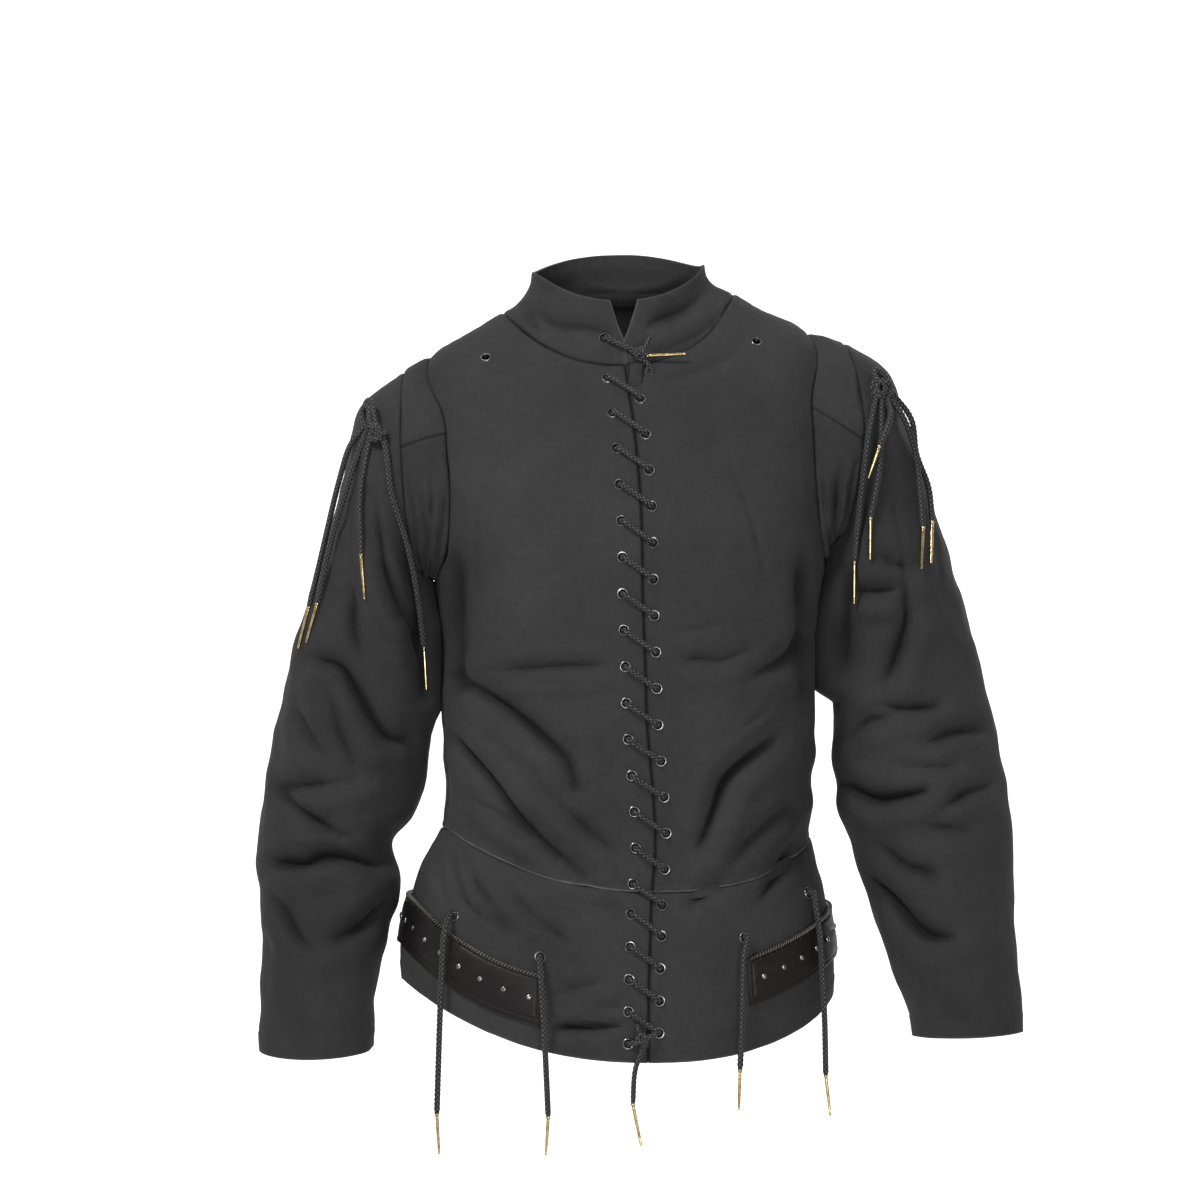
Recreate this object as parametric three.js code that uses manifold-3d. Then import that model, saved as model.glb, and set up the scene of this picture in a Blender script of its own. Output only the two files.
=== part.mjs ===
// Arming doublet in cotton canvas, as it hangs when worn: bodice, skirt, collar, sleeves set on
// caps and gussets, a studded leather band, spiral front lacing and tied points.
// Millimetres, +Z up, the front faces -Y, +X is the wearer's left. The origin is the base of the
// neck, where the wearer carries the garment.
import * as THREE from "three";
import { mergeVertices } from "three/addons/utils/BufferGeometryUtils.js";
import Module from "manifold-3d";

const wasm = await Module();
wasm.setup();

// ---------------------------------------------------------------- driving dimensions
const WALL = 2; // canvas with its turnings
const SEAM = 0.8; // mid-surfaces of neighbouring panels stop this far apart
const ARM_SEAM = { right: 4.05, left: 3.4 }; // the same round an armhole, where walls turn sharply
const OPENING_EDGE = 0.12; // degrees kept free on each side of the centre front
const SIDE_EDGE = 0.3; // the same at a side seam, a shoulder seam and an armhole
const GUSSET_EDGE = 0.35; // degrees between a cap's end and its gusset
const ROUNDNESS = 2.3; // exponent of a body section, 2 is an ellipse
const DIP_POWER = 1.8; // how fast a section drops towards the centre front or back

const EYELET_HOLE = 3.6; // radius
const EYELET_SIDES = 8;
const LACE_RADIUS = 2.3;
const LACE_TURN = 5.6; // radius of the lace's turn through an eyelet
const LACE_BEND = 50; // degrees of that turn that a station takes
const LACE_SEAM_CLEAR = 8; // how far the lace stands off a seam that it passes behind
const CORD_RADIUS = 2.6;
const CORD_STEP = 17.5; // length of tube between stations
const AGLET = { gap: 0.9, wide: 2.5, narrow: 1.3 };

const BAND = { thick: 3, lift: 3.4, studPitch: 22, studFirst: 14, studRadius: 4.8, studHeight: 3 };

function table(names, rows) {
  const keys = names.split(" ");
  return rows.map((row) => Object.fromEntries(keys.map((key, i) => [key, row[i]])));
}

// Body sections, each a ring round the trunk: its height at the front, side and back, its half
// width, its depth ahead of and behind the middle, the middle's x, the turn of the trunk in
// degrees, the side tilt, and how far round from the centre the panels reach beside the armhole.
const SECTION =
  "zFront zSide zBack half ahead behind midX twist roll armFront armBack";
const BODICE = table(SECTION, [
  [-484, -440, -444, 160, 112, 108, 5, 11, -0.03, 90, 90],
  [-442, -402, -404, 160, 116, 110, 8, 10.5, -0.02, 90, 90],
  [-396, -362, -362, 163, 120, 113, 8, 9, -0.01, 90, 90],
  [-345, -316, -314, 163, 125, 117, 7, 7, 0, 90, 90],
  [-288, -270, -264, 163, 129, 120, 7, 6, 0, 90, 90],
  [-234, -230, -216, 168, 130, 121, 7, 5, 0.02, 90, 90],
  [-194, -196, -176, 175, 127, 119, 7, 5, 0.03, 67, 66],
  [-150, -150, -130, 181, 120, 113, 6, 5, 0.04, 59, 58],
  [-114, -104, -88, 183, 110, 105, 4, 5, 0.05, 58, 58],
  [-84, -56, -48, 180, 98, 95, 2, 5, 0.06, 62, 62],
  [-64, -15, -12, 165, 86, 84, 0, 5, 0.07, 90, 90],
  [-49, 3, 14, 134, 75, 73, -1, 5, 0.07, 90, 90],
  [-36, 17, 33, 101, 65, 62, -2, 5, 0.04, 90, 90],
]);
const ARMPIT_ROW = 5;
const TIP_ROW = 10;

const SKIRT = table(SECTION, [
  [-486.6, -442.6, -446.6, 160, 112, 108, 5, 11, -0.03, 90, 90],
  [-500, -458, -462, 168, 118, 114, 3, 11, -0.03, 90, 90],
  [-522, -480, -487, 177, 125, 122, 1, 11, -0.03, 90, 90],
  [-556, -511, -521, 184, 129, 128, -1, 11, -0.03, 90, 90],
  [-592, -543, -556, 190, 131, 132, -2, 11, -0.03, 90, 90],
  [-627, -573, -588, 189, 129, 131, -2, 11, -0.03, 90, 90],
]);

// Collar: half width, depths and middle of its upper edge; the lower edge is the neck seam.
const COLLAR_TOP = { zFront: 21, zSide: 53, zBack: 72, half: 75, ahead: 56, behind: 60, midX: -2 };
const COLLAR_NOTCH = { wide: 7, from: 0.42 }; // degrees that the V opens by, and its foot
const COLLAR_FLARE = 2.2;

// Sleeve sections from the head to the cuff: the outermost and innermost point seen from the
// front, the middle's y, the half depth, and how far the front and back bow outwards.
const RING = "outX outZ inX inZ y depth bow";
const SLEEVE_RIGHT = table(RING, [
  [-189, -39, -178, -222, -9, 71, -4],
  [-227, -70, -175, -242, -8, 74, -4],
  [-240, -123, -168, -268, -7, 73, -2],
  [-254, -176, -164, -297, -5, 71, 0],
  [-271, -229, -161, -323, -3, 69, 0],
  [-286, -283, -163, -345, 0, 67, 0],
  [-297, -325, -168, -367, 2, 65, 0],
  [-307, -370, -173, -400, 4, 63, 0],
  [-314, -415, -182, -426, 5, 61, 0],
  [-318, -452, -202, -450, 4, 59, 0],
  [-316, -490, -196, -487, 0, 58, 0],
  [-313, -526, -204, -526, -5, 55, 0],
  [-314, -562, -211, -562, -11, 52, 0],
  [-314, -600, -218, -598, -17, 48, 0],
  [-313, -636, -216, -634, -23, 48, 0],
]);
const SLEEVE_LEFT = table(RING, [
  [198, -12, 189, -196, 14, 71, 17],
  [236, -37, 190, -215, 15, 75, 10],
  [252, -84, 183, -240, 15, 75, 5],
  [268, -126, 181, -262, 16, 73, 2],
  [281, -171, 185, -286, 17, 71, 0],
  [294, -214, 189, -313, 18, 69, 0],
  [306, -256, 192, -337, 19, 68, 0],
  [319, -303, 190, -362, 20, 68, 0],
  [331, -352, 191, -392, 20, 68, 0],
  [341, -405, 196, -425, 17, 67, 0],
  [344, -456, 209, -459, 11, 64, 0],
  [346, -493, 218, -493, 4, 60, 0],
  [347, -528, 228, -528, -4, 56, 0],
  [348, -563, 239, -563, -12, 52, 0],
  [349, -593, 250, -595, -19, 48, 0],
  [350, -620, 257, -624, -25, 47, 0],
]);
const CUFF_DIP = 8; // the cuff's front hangs this much lower

// Cap and gussets between the armhole and the sleeve head, as degrees round from the top.
const CAP_END = { right: { head: 75, arm: 67 }, left: { head: 87, arm: 63 } };
const GUSSET_END = { right: { head: 146, arm: 146 }, left: { head: 136, arm: 136 } };
const CAP_PUFF = 4;
const GUSSET_PUFF = 5;

// Largest folds, seen from the front as x, z: how wide, how deep and their run.
const BODY_FOLDS = [
  { wide: 13, deep: 7, run: [[-147, -303], [-107, -321], [-72, -348], [-45, -375], [-39, -397]] },
  { wide: 12, deep: 6, run: [[-147, -354], [-118, -384], [-85, -424], [-58, -449], [-31, -472]] },
  { wide: 10, deep: 3.5, run: [[-118, -300], [-53, -294], [1, -292]] },
  { wide: 10, deep: 3.5, run: [[28, -294], [63, -287], [82, -289], [109, -281]] },
  { wide: 13, deep: 6.5, run: [[134, -354], [91, -389], [80, -416], [69, -445]] },
  { wide: 12, deep: 5, run: [[114, -300], [139, -289], [160, -271]] },
  { wide: 11, deep: 4.5, run: [[145, -416], [109, -445], [96, -459]] },
  { wide: 10, deep: 4, run: [[-123, -408], [-102, -422], [-81, -436]] },
  { wide: 10, deep: 3.5, run: [[-72, -397], [-53, -411], [-21, -438], [6, -459]] },
  { wide: 11, deep: 4, run: [[25, -497], [60, -493], [82, -481]] },
  { wide: 11, deep: 4, run: [[-145, -458], [-129, -497], [-99, -515]] },
  { wide: 11, deep: 5, run: [[147, -455], [131, -481], [114, -505]] },
  { wide: 10, deep: 4, run: [[-99, -598], [-31, -596], [9, -596]] },
  { wide: 10, deep: 4, run: [[28, -589], [98, -583]] },
];
const BACK_FOLDS = [
  { wide: 13, deep: 6, run: [[130, -296], [66, -330], [10, -350]] },
  { wide: 13, deep: 6, run: [[-135, -318], [-74, -352], [-22, -384]] },
  { wide: 12, deep: 5, run: [[-116, -398], [-40, -421], [38, -424], [112, -406]] },
  { wide: 14, deep: 4, run: [[-118, -150], [-58, -188], [4, -200], [62, -186], [116, -148]] },
  { wide: 11, deep: 4, run: [[-70, -452], [14, -440]] },
  { wide: 11, deep: 4, run: [[-110, -500], [-60, -520], [20, -514]] },
];
const RIGHT_SLEEVE_FOLDS = [
  { wide: 13, deep: 8, run: [[-264, -289], [-244, -293], [-224, -323], [-200, -358], [-187, -358]] },
  { wide: 12, deep: 6, run: [[-253, -313], [-242, -352], [-226, -389]] },
  { wide: 12, deep: 5, run: [[-283, -332], [-269, -352], [-250, -382]] },
  { wide: 12, deep: 5, run: [[-298, -401], [-259, -397], [-242, -395]] },
  { wide: 12, deep: 5, run: [[-295, -407], [-269, -424], [-238, -442]] },
  { wide: 13, deep: 8, run: [[-300, -466], [-269, -464], [-259, -458], [-224, -462], [-210, -468]] },
  { wide: 14, deep: 6, run: [[-247, -531], [-224, -520], [-200, -496]] },
  { wide: 12, deep: 5, run: [[-301, -496], [-283, -523], [-265, -541]] },
  { wide: 13, deep: 5, run: [[-230, -227], [-232, -263], [-224, -287]] },
  { wide: 12, deep: 5, run: [[-202, -209], [-187, -244], [-173, -275]] },
];
const LEFT_SLEEVE_FOLDS = [
  { wide: 13, deep: 6, run: [[250, -220], [247, -261], [235, -295], [226, -313]] },
  { wide: 12, deep: 5, run: [[224, -328], [247, -331], [276, -330]] },
  { wide: 12, deep: 5, run: [[201, -356], [213, -344], [233, -338]] },
  { wide: 12, deep: 5, run: [[264, -363], [287, -352], [316, -350]] },
  { wide: 13, deep: 8, run: [[192, -399], [221, -410], [241, -407], [267, -401]] },
  { wide: 12, deep: 5, run: [[273, -421], [299, -404], [321, -399]] },
  { wide: 12, deep: 4, run: [[264, -433], [304, -436]] },
  { wide: 12, deep: 5, run: [[226, -453], [247, -468], [270, -473]] },
  { wide: 14, deep: 7, run: [[218, -479], [238, -502], [261, -525], [287, -528]] },
  { wide: 11, deep: 4, run: [[241, -382], [290, -382]] },
];

// Eyelets, seen from the front as x, z. The lacing's rows stand this far from the centre front,
// and each eyelet on the left lies lower than its partner on the right.
const LACING_INSET = { right: 17, left: 9 };
const LACING_ROWS = [
  { first: -12, pitch: 30, count: 1, lower: 13 },
  { first: -48, pitch: 30.7, count: 15, lower: 18.5 },
  { first: -503, pitch: 27, count: 5, lower: 18.5 },
];
const NECK_HEIGHT = -36;
const WAIST_HEIGHT = -485;
const CHEST_EYELETS = [[-116, -29], [118, -14]];

// Band round the skirt: its centre line's height at the sides and its dip towards the front, and
// how far round its ends reach, in degrees from the centre front.
const BAND_LINE = { level: -520, lean: -5, dip: 57, dipLean: -22, half: 20, end: 25 };

// Ties: rings of cord on the sleeve heads and at the ends of the front lace.
const TIES = {
  arm_tie_right: { at: [-213.6, -64.3, -81.1], facing: [-0.76, -0.6, 0.25], ring: 6.5 },
  arm_tie_left: { at: [227, -42.5, -53.8], facing: [0.6, -0.65, 0.46], ring: 6.5 },
  lace_knot_top: { at: [17, -67.1, -27], facing: [0, -1, 0], ring: 3.4 },
  lace_knot_bottom: { at: [18, -133.5, -607], facing: [0, -1, 0], ring: 4.2 },
};
const TIE_GAP = 0.9; // between a tie and what leaves it

// Points: where each cord leaves its tie, in degrees from the tie's lowest point, or its eyelet;
// its route from there, and the tip of its aglet.
const ARM_POINTS = [
  { name: "arm_right_1", tie: "arm_tie_right", leaves: -55, tip: [-280, -37, -280],
    route: [[-233, -58, -104], [-243, -53, -134], [-260, -46, -203], [-270, -44, -244]] },
  { name: "arm_right_2", tie: "arm_tie_right", leaves: -18, tip: [-272, -48, -275],
    route: [[-224, -66, -107], [-233, -68, -134], [-252, -57, -195], [-262, -55, -241]] },
  { name: "arm_right_3", tie: "arm_tie_right", leaves: 20, tip: [-219, -83, -237],
    route: [[-217, -75, -109], [-223, -80, -148], [-222, -83, -199]] },
  { name: "arm_right_4", tie: "arm_tie_right", leaves: 58, tip: [-168, -48, -316],
    route: [[-202, -81, -104], [-196, -86, -145], [-182, -76, -194], [-174, -62, -240],
      [-170, -50, -279]] },
  { name: "arm_left_1", tie: "arm_tie_left", leaves: 6, tip: [213, -70, -133],
    route: [[233, -60, -77], [229, -68, -90], [222, -72, -106]] },
  { name: "arm_left_2", tie: "arm_tie_left", leaves: -28, tip: [215, -63, -203],
    route: [[225, -61, -90], [222, -68, -130], [215, -66, -167]] },
  { name: "arm_left_3", tie: "arm_tie_left", leaves: -62, tip: [202, -53, -241],
    route: [[213, -67, -100], [206, -60, -162], [202, -57, -205]] },
  { name: "arm_left_4", tie: "arm_tie_left", leaves: 40, tip: [260, -53, -211],
    route: [[247, -41, -82], [256, -33, -106], [260, -42, -140], [262, -48, -175]] },
  { name: "arm_left_5", tie: "arm_tie_left", leaves: 76, tip: [269, -49, -206],
    route: [[254, -26, -80], [259, -22, -110], [269, -28, -140], [271, -37, -170]] },
];
const HIP_POINTS = [
  { name: "hip_right_outer", eyelet: [-141, -506], tip: [-154, -107, -708],
    route: [[-149, -119, -518], [-151, -119, -545], [-153, -117, -590], [-156, -109, -674]] },
  { name: "hip_right_inner", eyelet: [-68, -538], tip: [-63, -143, -703],
    route: [[-67, -146, -552], [-65, -148, -585], [-63, -147, -625], [-61, -144, -671]] },
  { name: "hip_left_inner", eyelet: [105, -525], tip: [100, -112, -670],
    route: [[104, -114, -540], [103, -116, -575], [102, -115, -610], [101, -113, -636]] },
  { name: "hip_left_outer", eyelet: [162, -492], tip: [181, -62, -682],
    route: [[169, -58, -504], [172, -58, -524], [174, -61, -560], [176, -62, -600], [177, -62, -648]] },
];
const LACE_TAIL = { tie: "lace_knot_bottom", leaves: 4, route: [[12, -139, -632], [10, -138, -661]],
  tip: [17, -137, -696] };
const TOP_AGLET = { tie: "lace_knot_top", leaves: 86, tip: [56, -69, -26] };

// ---------------------------------------------------------------- small maths
const rad = THREE.MathUtils.degToRad;
const { smoothstep, lerp, clamp } = THREE.MathUtils;
const mix = (a, b, k) => a.clone().lerp(b, k);

function spaced(from, to, count) {
  return Array.from({ length: count + 1 }, (_, i) => from + ((to - from) * i) / count);
}

// A row of a table between its rows, every column on a Catmull-Rom curve.
function rowAt(rows, t) {
  const i = clamp(Math.floor(t), 0, rows.length - 2);
  const k = t - i;
  const [before, from, to, after] = [i - 1, i, i + 1, i + 2].map(
    (at) => rows[clamp(at, 0, rows.length - 1)],
  );
  const between = (key) => {
    const inward = (to[key] - before[key]) / 2;
    const outward = (after[key] - from[key]) / 2;
    const cubic = 2 * from[key] - 2 * to[key] + inward + outward;
    const square = 3 * to[key] - 3 * from[key] - 2 * inward - outward;
    return from[key] + k * (inward + k * (square + k * cubic));
  };
  return Object.fromEntries(Object.keys(from).map((key) => [key, between(key)]));
}

// ---------------------------------------------------------------- surfaces
// The point of a section that lies turn degrees round from the centre front.
function onSection(row, turn) {
  const [s, c] = [Math.sin(rad(turn)), Math.cos(rad(turn))];
  const soft = 2 / ROUNDNESS;
  const across = row.half * Math.sign(s) * Math.abs(s) ** soft;
  const along = -(c > 0 ? row.ahead : row.behind) * Math.sign(c) * Math.abs(c) ** soft;
  const [ts, tc] = [Math.sin(rad(row.twist)), Math.cos(rad(row.twist))];
  const x = row.midX + across * tc - along * ts;
  const toFront = (row.zFront - row.zSide) * Math.max(c, 0) ** DIP_POWER;
  const toBack = (row.zBack - row.zSide) * Math.max(-c, 0) ** DIP_POWER;
  return new THREE.Vector3(x, across * ts + along * tc, row.zSide + toFront + toBack + row.roll * x);
}

const RUN_TOLERANCE = 1e-6;

// Turns that split the run of a chest section between two turns into equal lengths.
function evenTurns(from, to, count) {
  const chest = BODICE[4];
  const fine = spaced(from, to, 10 * count);
  const points = fine.map((turn) => onSection(chest, turn));
  const runs = [0];
  for (let i = 1; i < points.length; i++)
    runs.push(runs[i - 1] + points[i].distanceTo(points[i - 1]));
  return spaced(0, runs[runs.length - 1], count).map((run) => {
    const i = Math.max(1, runs.findIndex((r) => r > run - RUN_TOLERANCE));
    return lerp(fine[i - 1], fine[i], (run - runs[i - 1]) / (runs[i] - runs[i - 1]));
  });
}

const onBodice = (t, turn) => onSection(rowAt(BODICE, t), turn);
const onSkirt = (t, turn) => onSection(rowAt(SKIRT, t), turn);

// The neck seam rises into the collar: h is 0 at the seam and 1 at the upper edge.
function onCollar(h, turn) {
  const foot = BODICE[BODICE.length - 1];
  const draw = (1 - h) ** COLLAR_FLARE;
  const row = { twist: foot.twist, roll: foot.roll };
  for (const key of ["zFront", "zSide", "zBack"]) row[key] = lerp(foot[key], COLLAR_TOP[key], h);
  for (const key of ["half", "ahead", "behind", "midX"])
    row[key] = lerp(COLLAR_TOP[key], foot[key], draw);
  return onSection(row, turn);
}

// A sleeve point: t runs from the head to the cuff, turn goes round from the outside by the front.
function onSleeve(rows, t, turn) {
  const row = rowAt(rows, t);
  const [s, c] = [Math.sin(rad(turn)), Math.cos(rad(turn))];
  const last = smoothstep(t, rows.length - 2.5, rows.length - 1);
  return new THREE.Vector3(
    lerp(row.inX, row.outX, (1 + c) / 2) + row.bow * s * s,
    row.y - row.depth * s,
    lerp(row.inZ, row.outZ, (1 + c) / 2) - CUFF_DIP * last * Math.max(s, 0),
  );
}

// The armhole's edge, turn degrees round from the shoulder tip by the front.
function armholeRow(turn) {
  return lerp(ARMPIT_ROW, TIP_ROW, (1 + Math.cos(rad(turn))) / 2);
}

function armholeTurn(t, front) {
  const row = rowAt(BODICE, t);
  const inside = t > ARMPIT_ROW && t < TIP_ROW;
  if (!inside) return 90;
  return front ? Math.min(row.armFront, 90) : 180 - Math.min(row.armBack, 90);
}

function onArmhole(side, turn) {
  const t = armholeRow(turn);
  return onBodice(t, side * armholeTurn(t, Math.sin(rad(turn)) > 0));
}

// ---------------------------------------------------------------- folds
// Distance from a fold's run and how far along it the nearest point lies, 0 to 1.
function nearRun(run, x, z) {
  let best = { far: Infinity, along: 0, above: 0 };
  for (let i = 0; i + 1 < run.length; i++) {
    const [ax, az] = run[i];
    const [dx, dz] = [run[i + 1][0] - ax, run[i + 1][1] - az];
    const k = clamp(((x - ax) * dx + (z - az) * dz) / (dx * dx + dz * dz), 0, 1);
    const far = Math.hypot(x - ax - k * dx, z - az - k * dz);
    if (far < best.far) best = { far, along: (i + k) / (run.length - 1), above: z - az - k * dz };
  }
  return best;
}

const bump = (x) => Math.exp(-x * x);

// A fold is a trough with a roll of cloth beside it, fuller below than above.
function foldHeight(folds, x, z) {
  let height = 0;
  for (const { wide, deep, run } of folds) {
    const { far, along, above } = nearRun(run, x, z);
    const fade = Math.sqrt(Math.sin(Math.PI * lerp(0.08, 0.92, along)));
    const roll = above > 0 ? 0.3 : 0.55;
    height += deep * fade * (roll * bump((far - 1.9 * wide) / wide) - bump(far / wide));
  }
  return height;
}

// The height of the band's centre line, turn degrees round from the centre front.
function bandHeight(turn) {
  const [s, c] = [Math.sin(rad(turn)), Math.cos(rad(turn))];
  const { level, lean, dip, dipLean } = BAND_LINE;
  return level + lean * s - (dip + dipLean * s) * Math.max(c, 0) ** DIP_POWER;
}

// The cloth lies flat under the stiff band.
function bandCalm(p) {
  const turn = THREE.MathUtils.radToDeg(Math.atan2(p.x, -p.y));
  const inside = smoothstep(Math.abs(turn), BAND_LINE.end - 8, BAND_LINE.end);
  const off = Math.abs(p.z - bandHeight(turn));
  const near = 1 - smoothstep(off, BAND_LINE.half + 14, BAND_LINE.half + 34);
  return 1 - inside * near;
}

// Folds die out towards the laced edges and under the band.
function bodyRelief(p, n) {
  const facing = clamp(0.2 - 1.3 * n.y, 0, 1);
  const lacing = smoothstep(Math.abs(p.x - lacedEdgeX(p.z)), 22, 42);
  const away = clamp(0.2 + 1.3 * n.y, 0, 1);
  const front = facing * lacing * foldHeight(BODY_FOLDS, p.x, p.z);
  return bandCalm(p) * (front + away * foldHeight(BACK_FOLDS, p.x, p.z));
}

function lacedEdgeX(z) {
  return lerp(5, 27, smoothstep(-z, 0, 420)) - 4 * smoothstep(-z, 480, 620);
}

// The back of a sleeve has the folds of its front, turned about its middle and a little lower.
function sleeveRelief(folds, middleX) {
  const lower = 26;
  return (p, n, up) => {
    const calm = 1 - smoothstep(up, 0.86, 0.98);
    const front = clamp(0.25 - 1.2 * n.y, 0, 1);
    const back = clamp(0.25 + 1.2 * n.y, 0, 1);
    const turned = 2 * middleX(p.z) - p.x;
    const behind = foldHeight(folds, turned, p.z + lower);
    return calm * (front * foldHeight(folds, p.x, p.z) + 0.8 * back * behind);
  };
}

// ---------------------------------------------------------------- cloth walls
// Outward normals of a grid of points whose columns run anticlockwise seen from above, rows upwards.
function gridNormals(points, loop) {
  return points.map((row, j) =>
    row.map((_, i) => {
      const m = row.length;
      const right = loop ? row[(i + 1) % m] : row[Math.min(i + 1, m - 1)];
      const left = loop ? row[(i + m - 1) % m] : row[Math.max(i - 1, 0)];
      const up = points[Math.min(j + 1, points.length - 1)][i];
      const down = points[Math.max(j - 1, 0)][i];
      const across = new THREE.Vector3().subVectors(right, left);
      return across.cross(new THREE.Vector3().subVectors(up, down)).normalize();
    }),
  );
}

// A closed wall of even thickness round a grid of mid-surface points, with its folds laid on.
function wall(points, { loop = false, thick = WALL, relief = null, lift = 0 } = {}) {
  const flat = gridNormals(points, loop);
  const raised = points.map((row, j) =>
    row.map((p, i) => {
      const height = lift + (relief ? relief(p, flat[j][i], j / (points.length - 1)) : 0);
      return p.clone().addScaledVector(flat[j][i], height);
    }),
  );
  const normals = gridNormals(raised, loop);
  const [rows, cols] = [raised.length, raised[0].length];
  const corners = [];
  for (const half of [thick / 2, -thick / 2])
    raised.forEach((row, j) =>
      row.forEach((p, i) => corners.push(...p.clone().addScaledVector(normals[j][i], half))),
    );
  const inside = rows * cols;
  const at = (j, i) => j * cols + (i % cols);
  const faces = [];
  const quad = (a, b, c, d) => faces.push(a, b, c, a, c, d);
  const spans = loop ? cols : cols - 1;
  for (let i = 0; i < spans; i++) {
    for (let j = 0; j + 1 < rows; j++) {
      const [a, b, c, d] = [at(j, i), at(j, i + 1), at(j + 1, i + 1), at(j + 1, i)];
      quad(a, b, c, d);
      quad(inside + a, inside + d, inside + c, inside + b);
    }
    quad(at(0, i + 1), at(0, i), inside + at(0, i), inside + at(0, i + 1));
    const [a, b] = [at(rows - 1, i), at(rows - 1, i + 1)];
    quad(a, b, inside + b, inside + a);
  }
  if (!loop)
    for (let j = 0; j + 1 < rows; j++) {
      quad(at(j, 0), at(j + 1, 0), inside + at(j + 1, 0), inside + at(j, 0));
      const [a, b] = [at(j, cols - 1), at(j + 1, cols - 1)];
      quad(b, a, inside + a, inside + b);
    }
  return new THREE.BufferGeometry()
    .setAttribute("position", new THREE.Float32BufferAttribute(corners, 3))
    .setIndex(faces);
}

// ---------------------------------------------------------------- joining and cutting
function solidOf(geometry) {
  const bare = geometry.clone();
  bare.deleteAttribute("normal");
  bare.deleteAttribute("uv");
  const merged = mergeVertices(bare, 1e-4);
  return new wasm.Manifold(
    new wasm.Mesh({
      numProp: 3,
      vertProperties: new Float32Array(merged.attributes.position.array),
      triVerts: new Uint32Array(merged.index.array),
    }),
  );
}

function geometryOf(solid) {
  const mesh = solid.getMesh();
  return new THREE.BufferGeometry()
    .setAttribute("position", new THREE.BufferAttribute(new Float32Array(mesh.vertProperties), 3))
    .setIndex(new THREE.BufferAttribute(new Uint32Array(mesh.triVerts), 1));
}

function placed(geometry, point, direction, from = new THREE.Vector3(0, 1, 0)) {
  const turn = new THREE.Quaternion().setFromUnitVectors(from, direction);
  return geometry.clone().applyQuaternion(turn).translate(...point);
}

// ---------------------------------------------------------------- materials
const canvas = (name, color) => {
  const material = new THREE.MeshStandardMaterial({ color, roughness: 0.92, metalness: 0 });
  material.name = name;
  return material;
};
const bodyCanvas = canvas("canvas", 0x404040);
const sleeveCanvas = canvas("canvas", 0x333333);
const leather = new THREE.MeshStandardMaterial({ color: 0x22201d, roughness: 0.55, metalness: 0 });
const cordBlack = new THREE.MeshStandardMaterial({ color: 0x161616, roughness: 0.8, metalness: 0 });
const brass = new THREE.MeshStandardMaterial({ color: 0xb08a45, roughness: 0.3, metalness: 1 });
leather.name = "leather";
cordBlack.name = "cord";
brass.name = "brass";

const doublet = new THREE.Group();

function add(name, geometry, material) {
  const mesh = new THREE.Mesh(geometry, material);
  mesh.name = name;
  doublet.add(mesh);
  return mesh;
}

// ---------------------------------------------------------------- eyelets
// Each site is a point of a panel's mid-surface with its outward normal.
const PANEL_SURFACES = {
  collar: { surface: onCollar, last: 1 },
  bodice: { surface: onBodice, last: BODICE.length - 1 },
  skirt: { surface: onSkirt, last: SKIRT.length - 1 },
};

function halved(low, high, isBelow) {
  for (let i = 0; i < 26; i++) {
    const half = (low + high) / 2;
    if (isBelow(half)) low = half;
    else high = half;
  }
  return (low + high) / 2;
}

// The row at which a panel's line at a given turn passes a height.
function rowAtHeight({ surface, last }, turn, z) {
  const rising = surface(last, turn).z > surface(0, turn).z;
  return halved(0, last, (t) => surface(t, turn).z < z === rising);
}

function siteAt(name, x, z) {
  const panel = PANEL_SURFACES[name];
  const turn = halved(-89, 89, (at) => panel.surface(rowAtHeight(panel, at, z), at).x < x);
  const t = rowAtHeight(panel, turn, z);
  const small = 0.02;
  const across = panel.surface(t, turn + 1).sub(panel.surface(t, turn - 1));
  const up = panel.surface(t + small, turn).sub(panel.surface(t - small, turn));
  const normal = across.cross(up).normalize();
  if (normal.y > 0) normal.negate();
  return { panel: name, point: panel.surface(t, turn), normal };
}

function centreX(name, z) {
  const panel = PANEL_SURFACES[name];
  return panel.surface(rowAtHeight(panel, 0, z), 0).x;
}

function lacingSites() {
  const right = [];
  const left = [];
  const place = (z, inset) => {
    const panel = z > NECK_HEIGHT ? "collar" : z > WAIST_HEIGHT ? "bodice" : "skirt";
    return siteAt(panel, centreX(panel, z) + inset, z);
  };
  for (const { first, pitch, count, lower } of LACING_ROWS)
    for (let k = 0; k < count; k++) {
      const z = first - k * pitch;
      right.push(place(z, -LACING_INSET.right));
      left.push(place(z - lower, LACING_INSET.left));
    }
  left.pop();
  return { right, left };
}

const lacing = lacingSites();
const chestEyelets = CHEST_EYELETS.map(([x, z]) => siteAt("bodice", x, z));
const hipEyelets = HIP_POINTS.map(({ eyelet: [x, z] }) => siteAt("skirt", x, z));

const HOLE = new THREE.CylinderGeometry(EYELET_HOLE, EYELET_HOLE, 14, EYELET_SIDES);

function pierced(geometry, sites) {
  let solid = solidOf(geometry);
  for (const { point, normal } of sites)
    solid = solid.subtract(solidOf(placed(HOLE, point, normal)));
  return geometryOf(solid);
}

const sitesOn = (panel, sites) => sites.filter((s) => s.panel === panel);

// ---------------------------------------------------------------- bodice
const BELOW_ROWS = 10;
const ARMHOLE_TURNS = spaced(180, 0, 10);
const ABOVE_ROWS = 3;
const FRONT_COLUMNS = 9;
const BACK_COLUMNS = 12;
const SKIRT_ROWS = 6;
const bodiceRows = [
  ...spaced(0, ARMPIT_ROW, BELOW_ROWS).slice(0, -1),
  ...ARMHOLE_TURNS.map(armholeRow),
  ...spaced(TIP_ROW, BODICE.length - 1, ABOVE_ROWS).slice(1),
];

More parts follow.
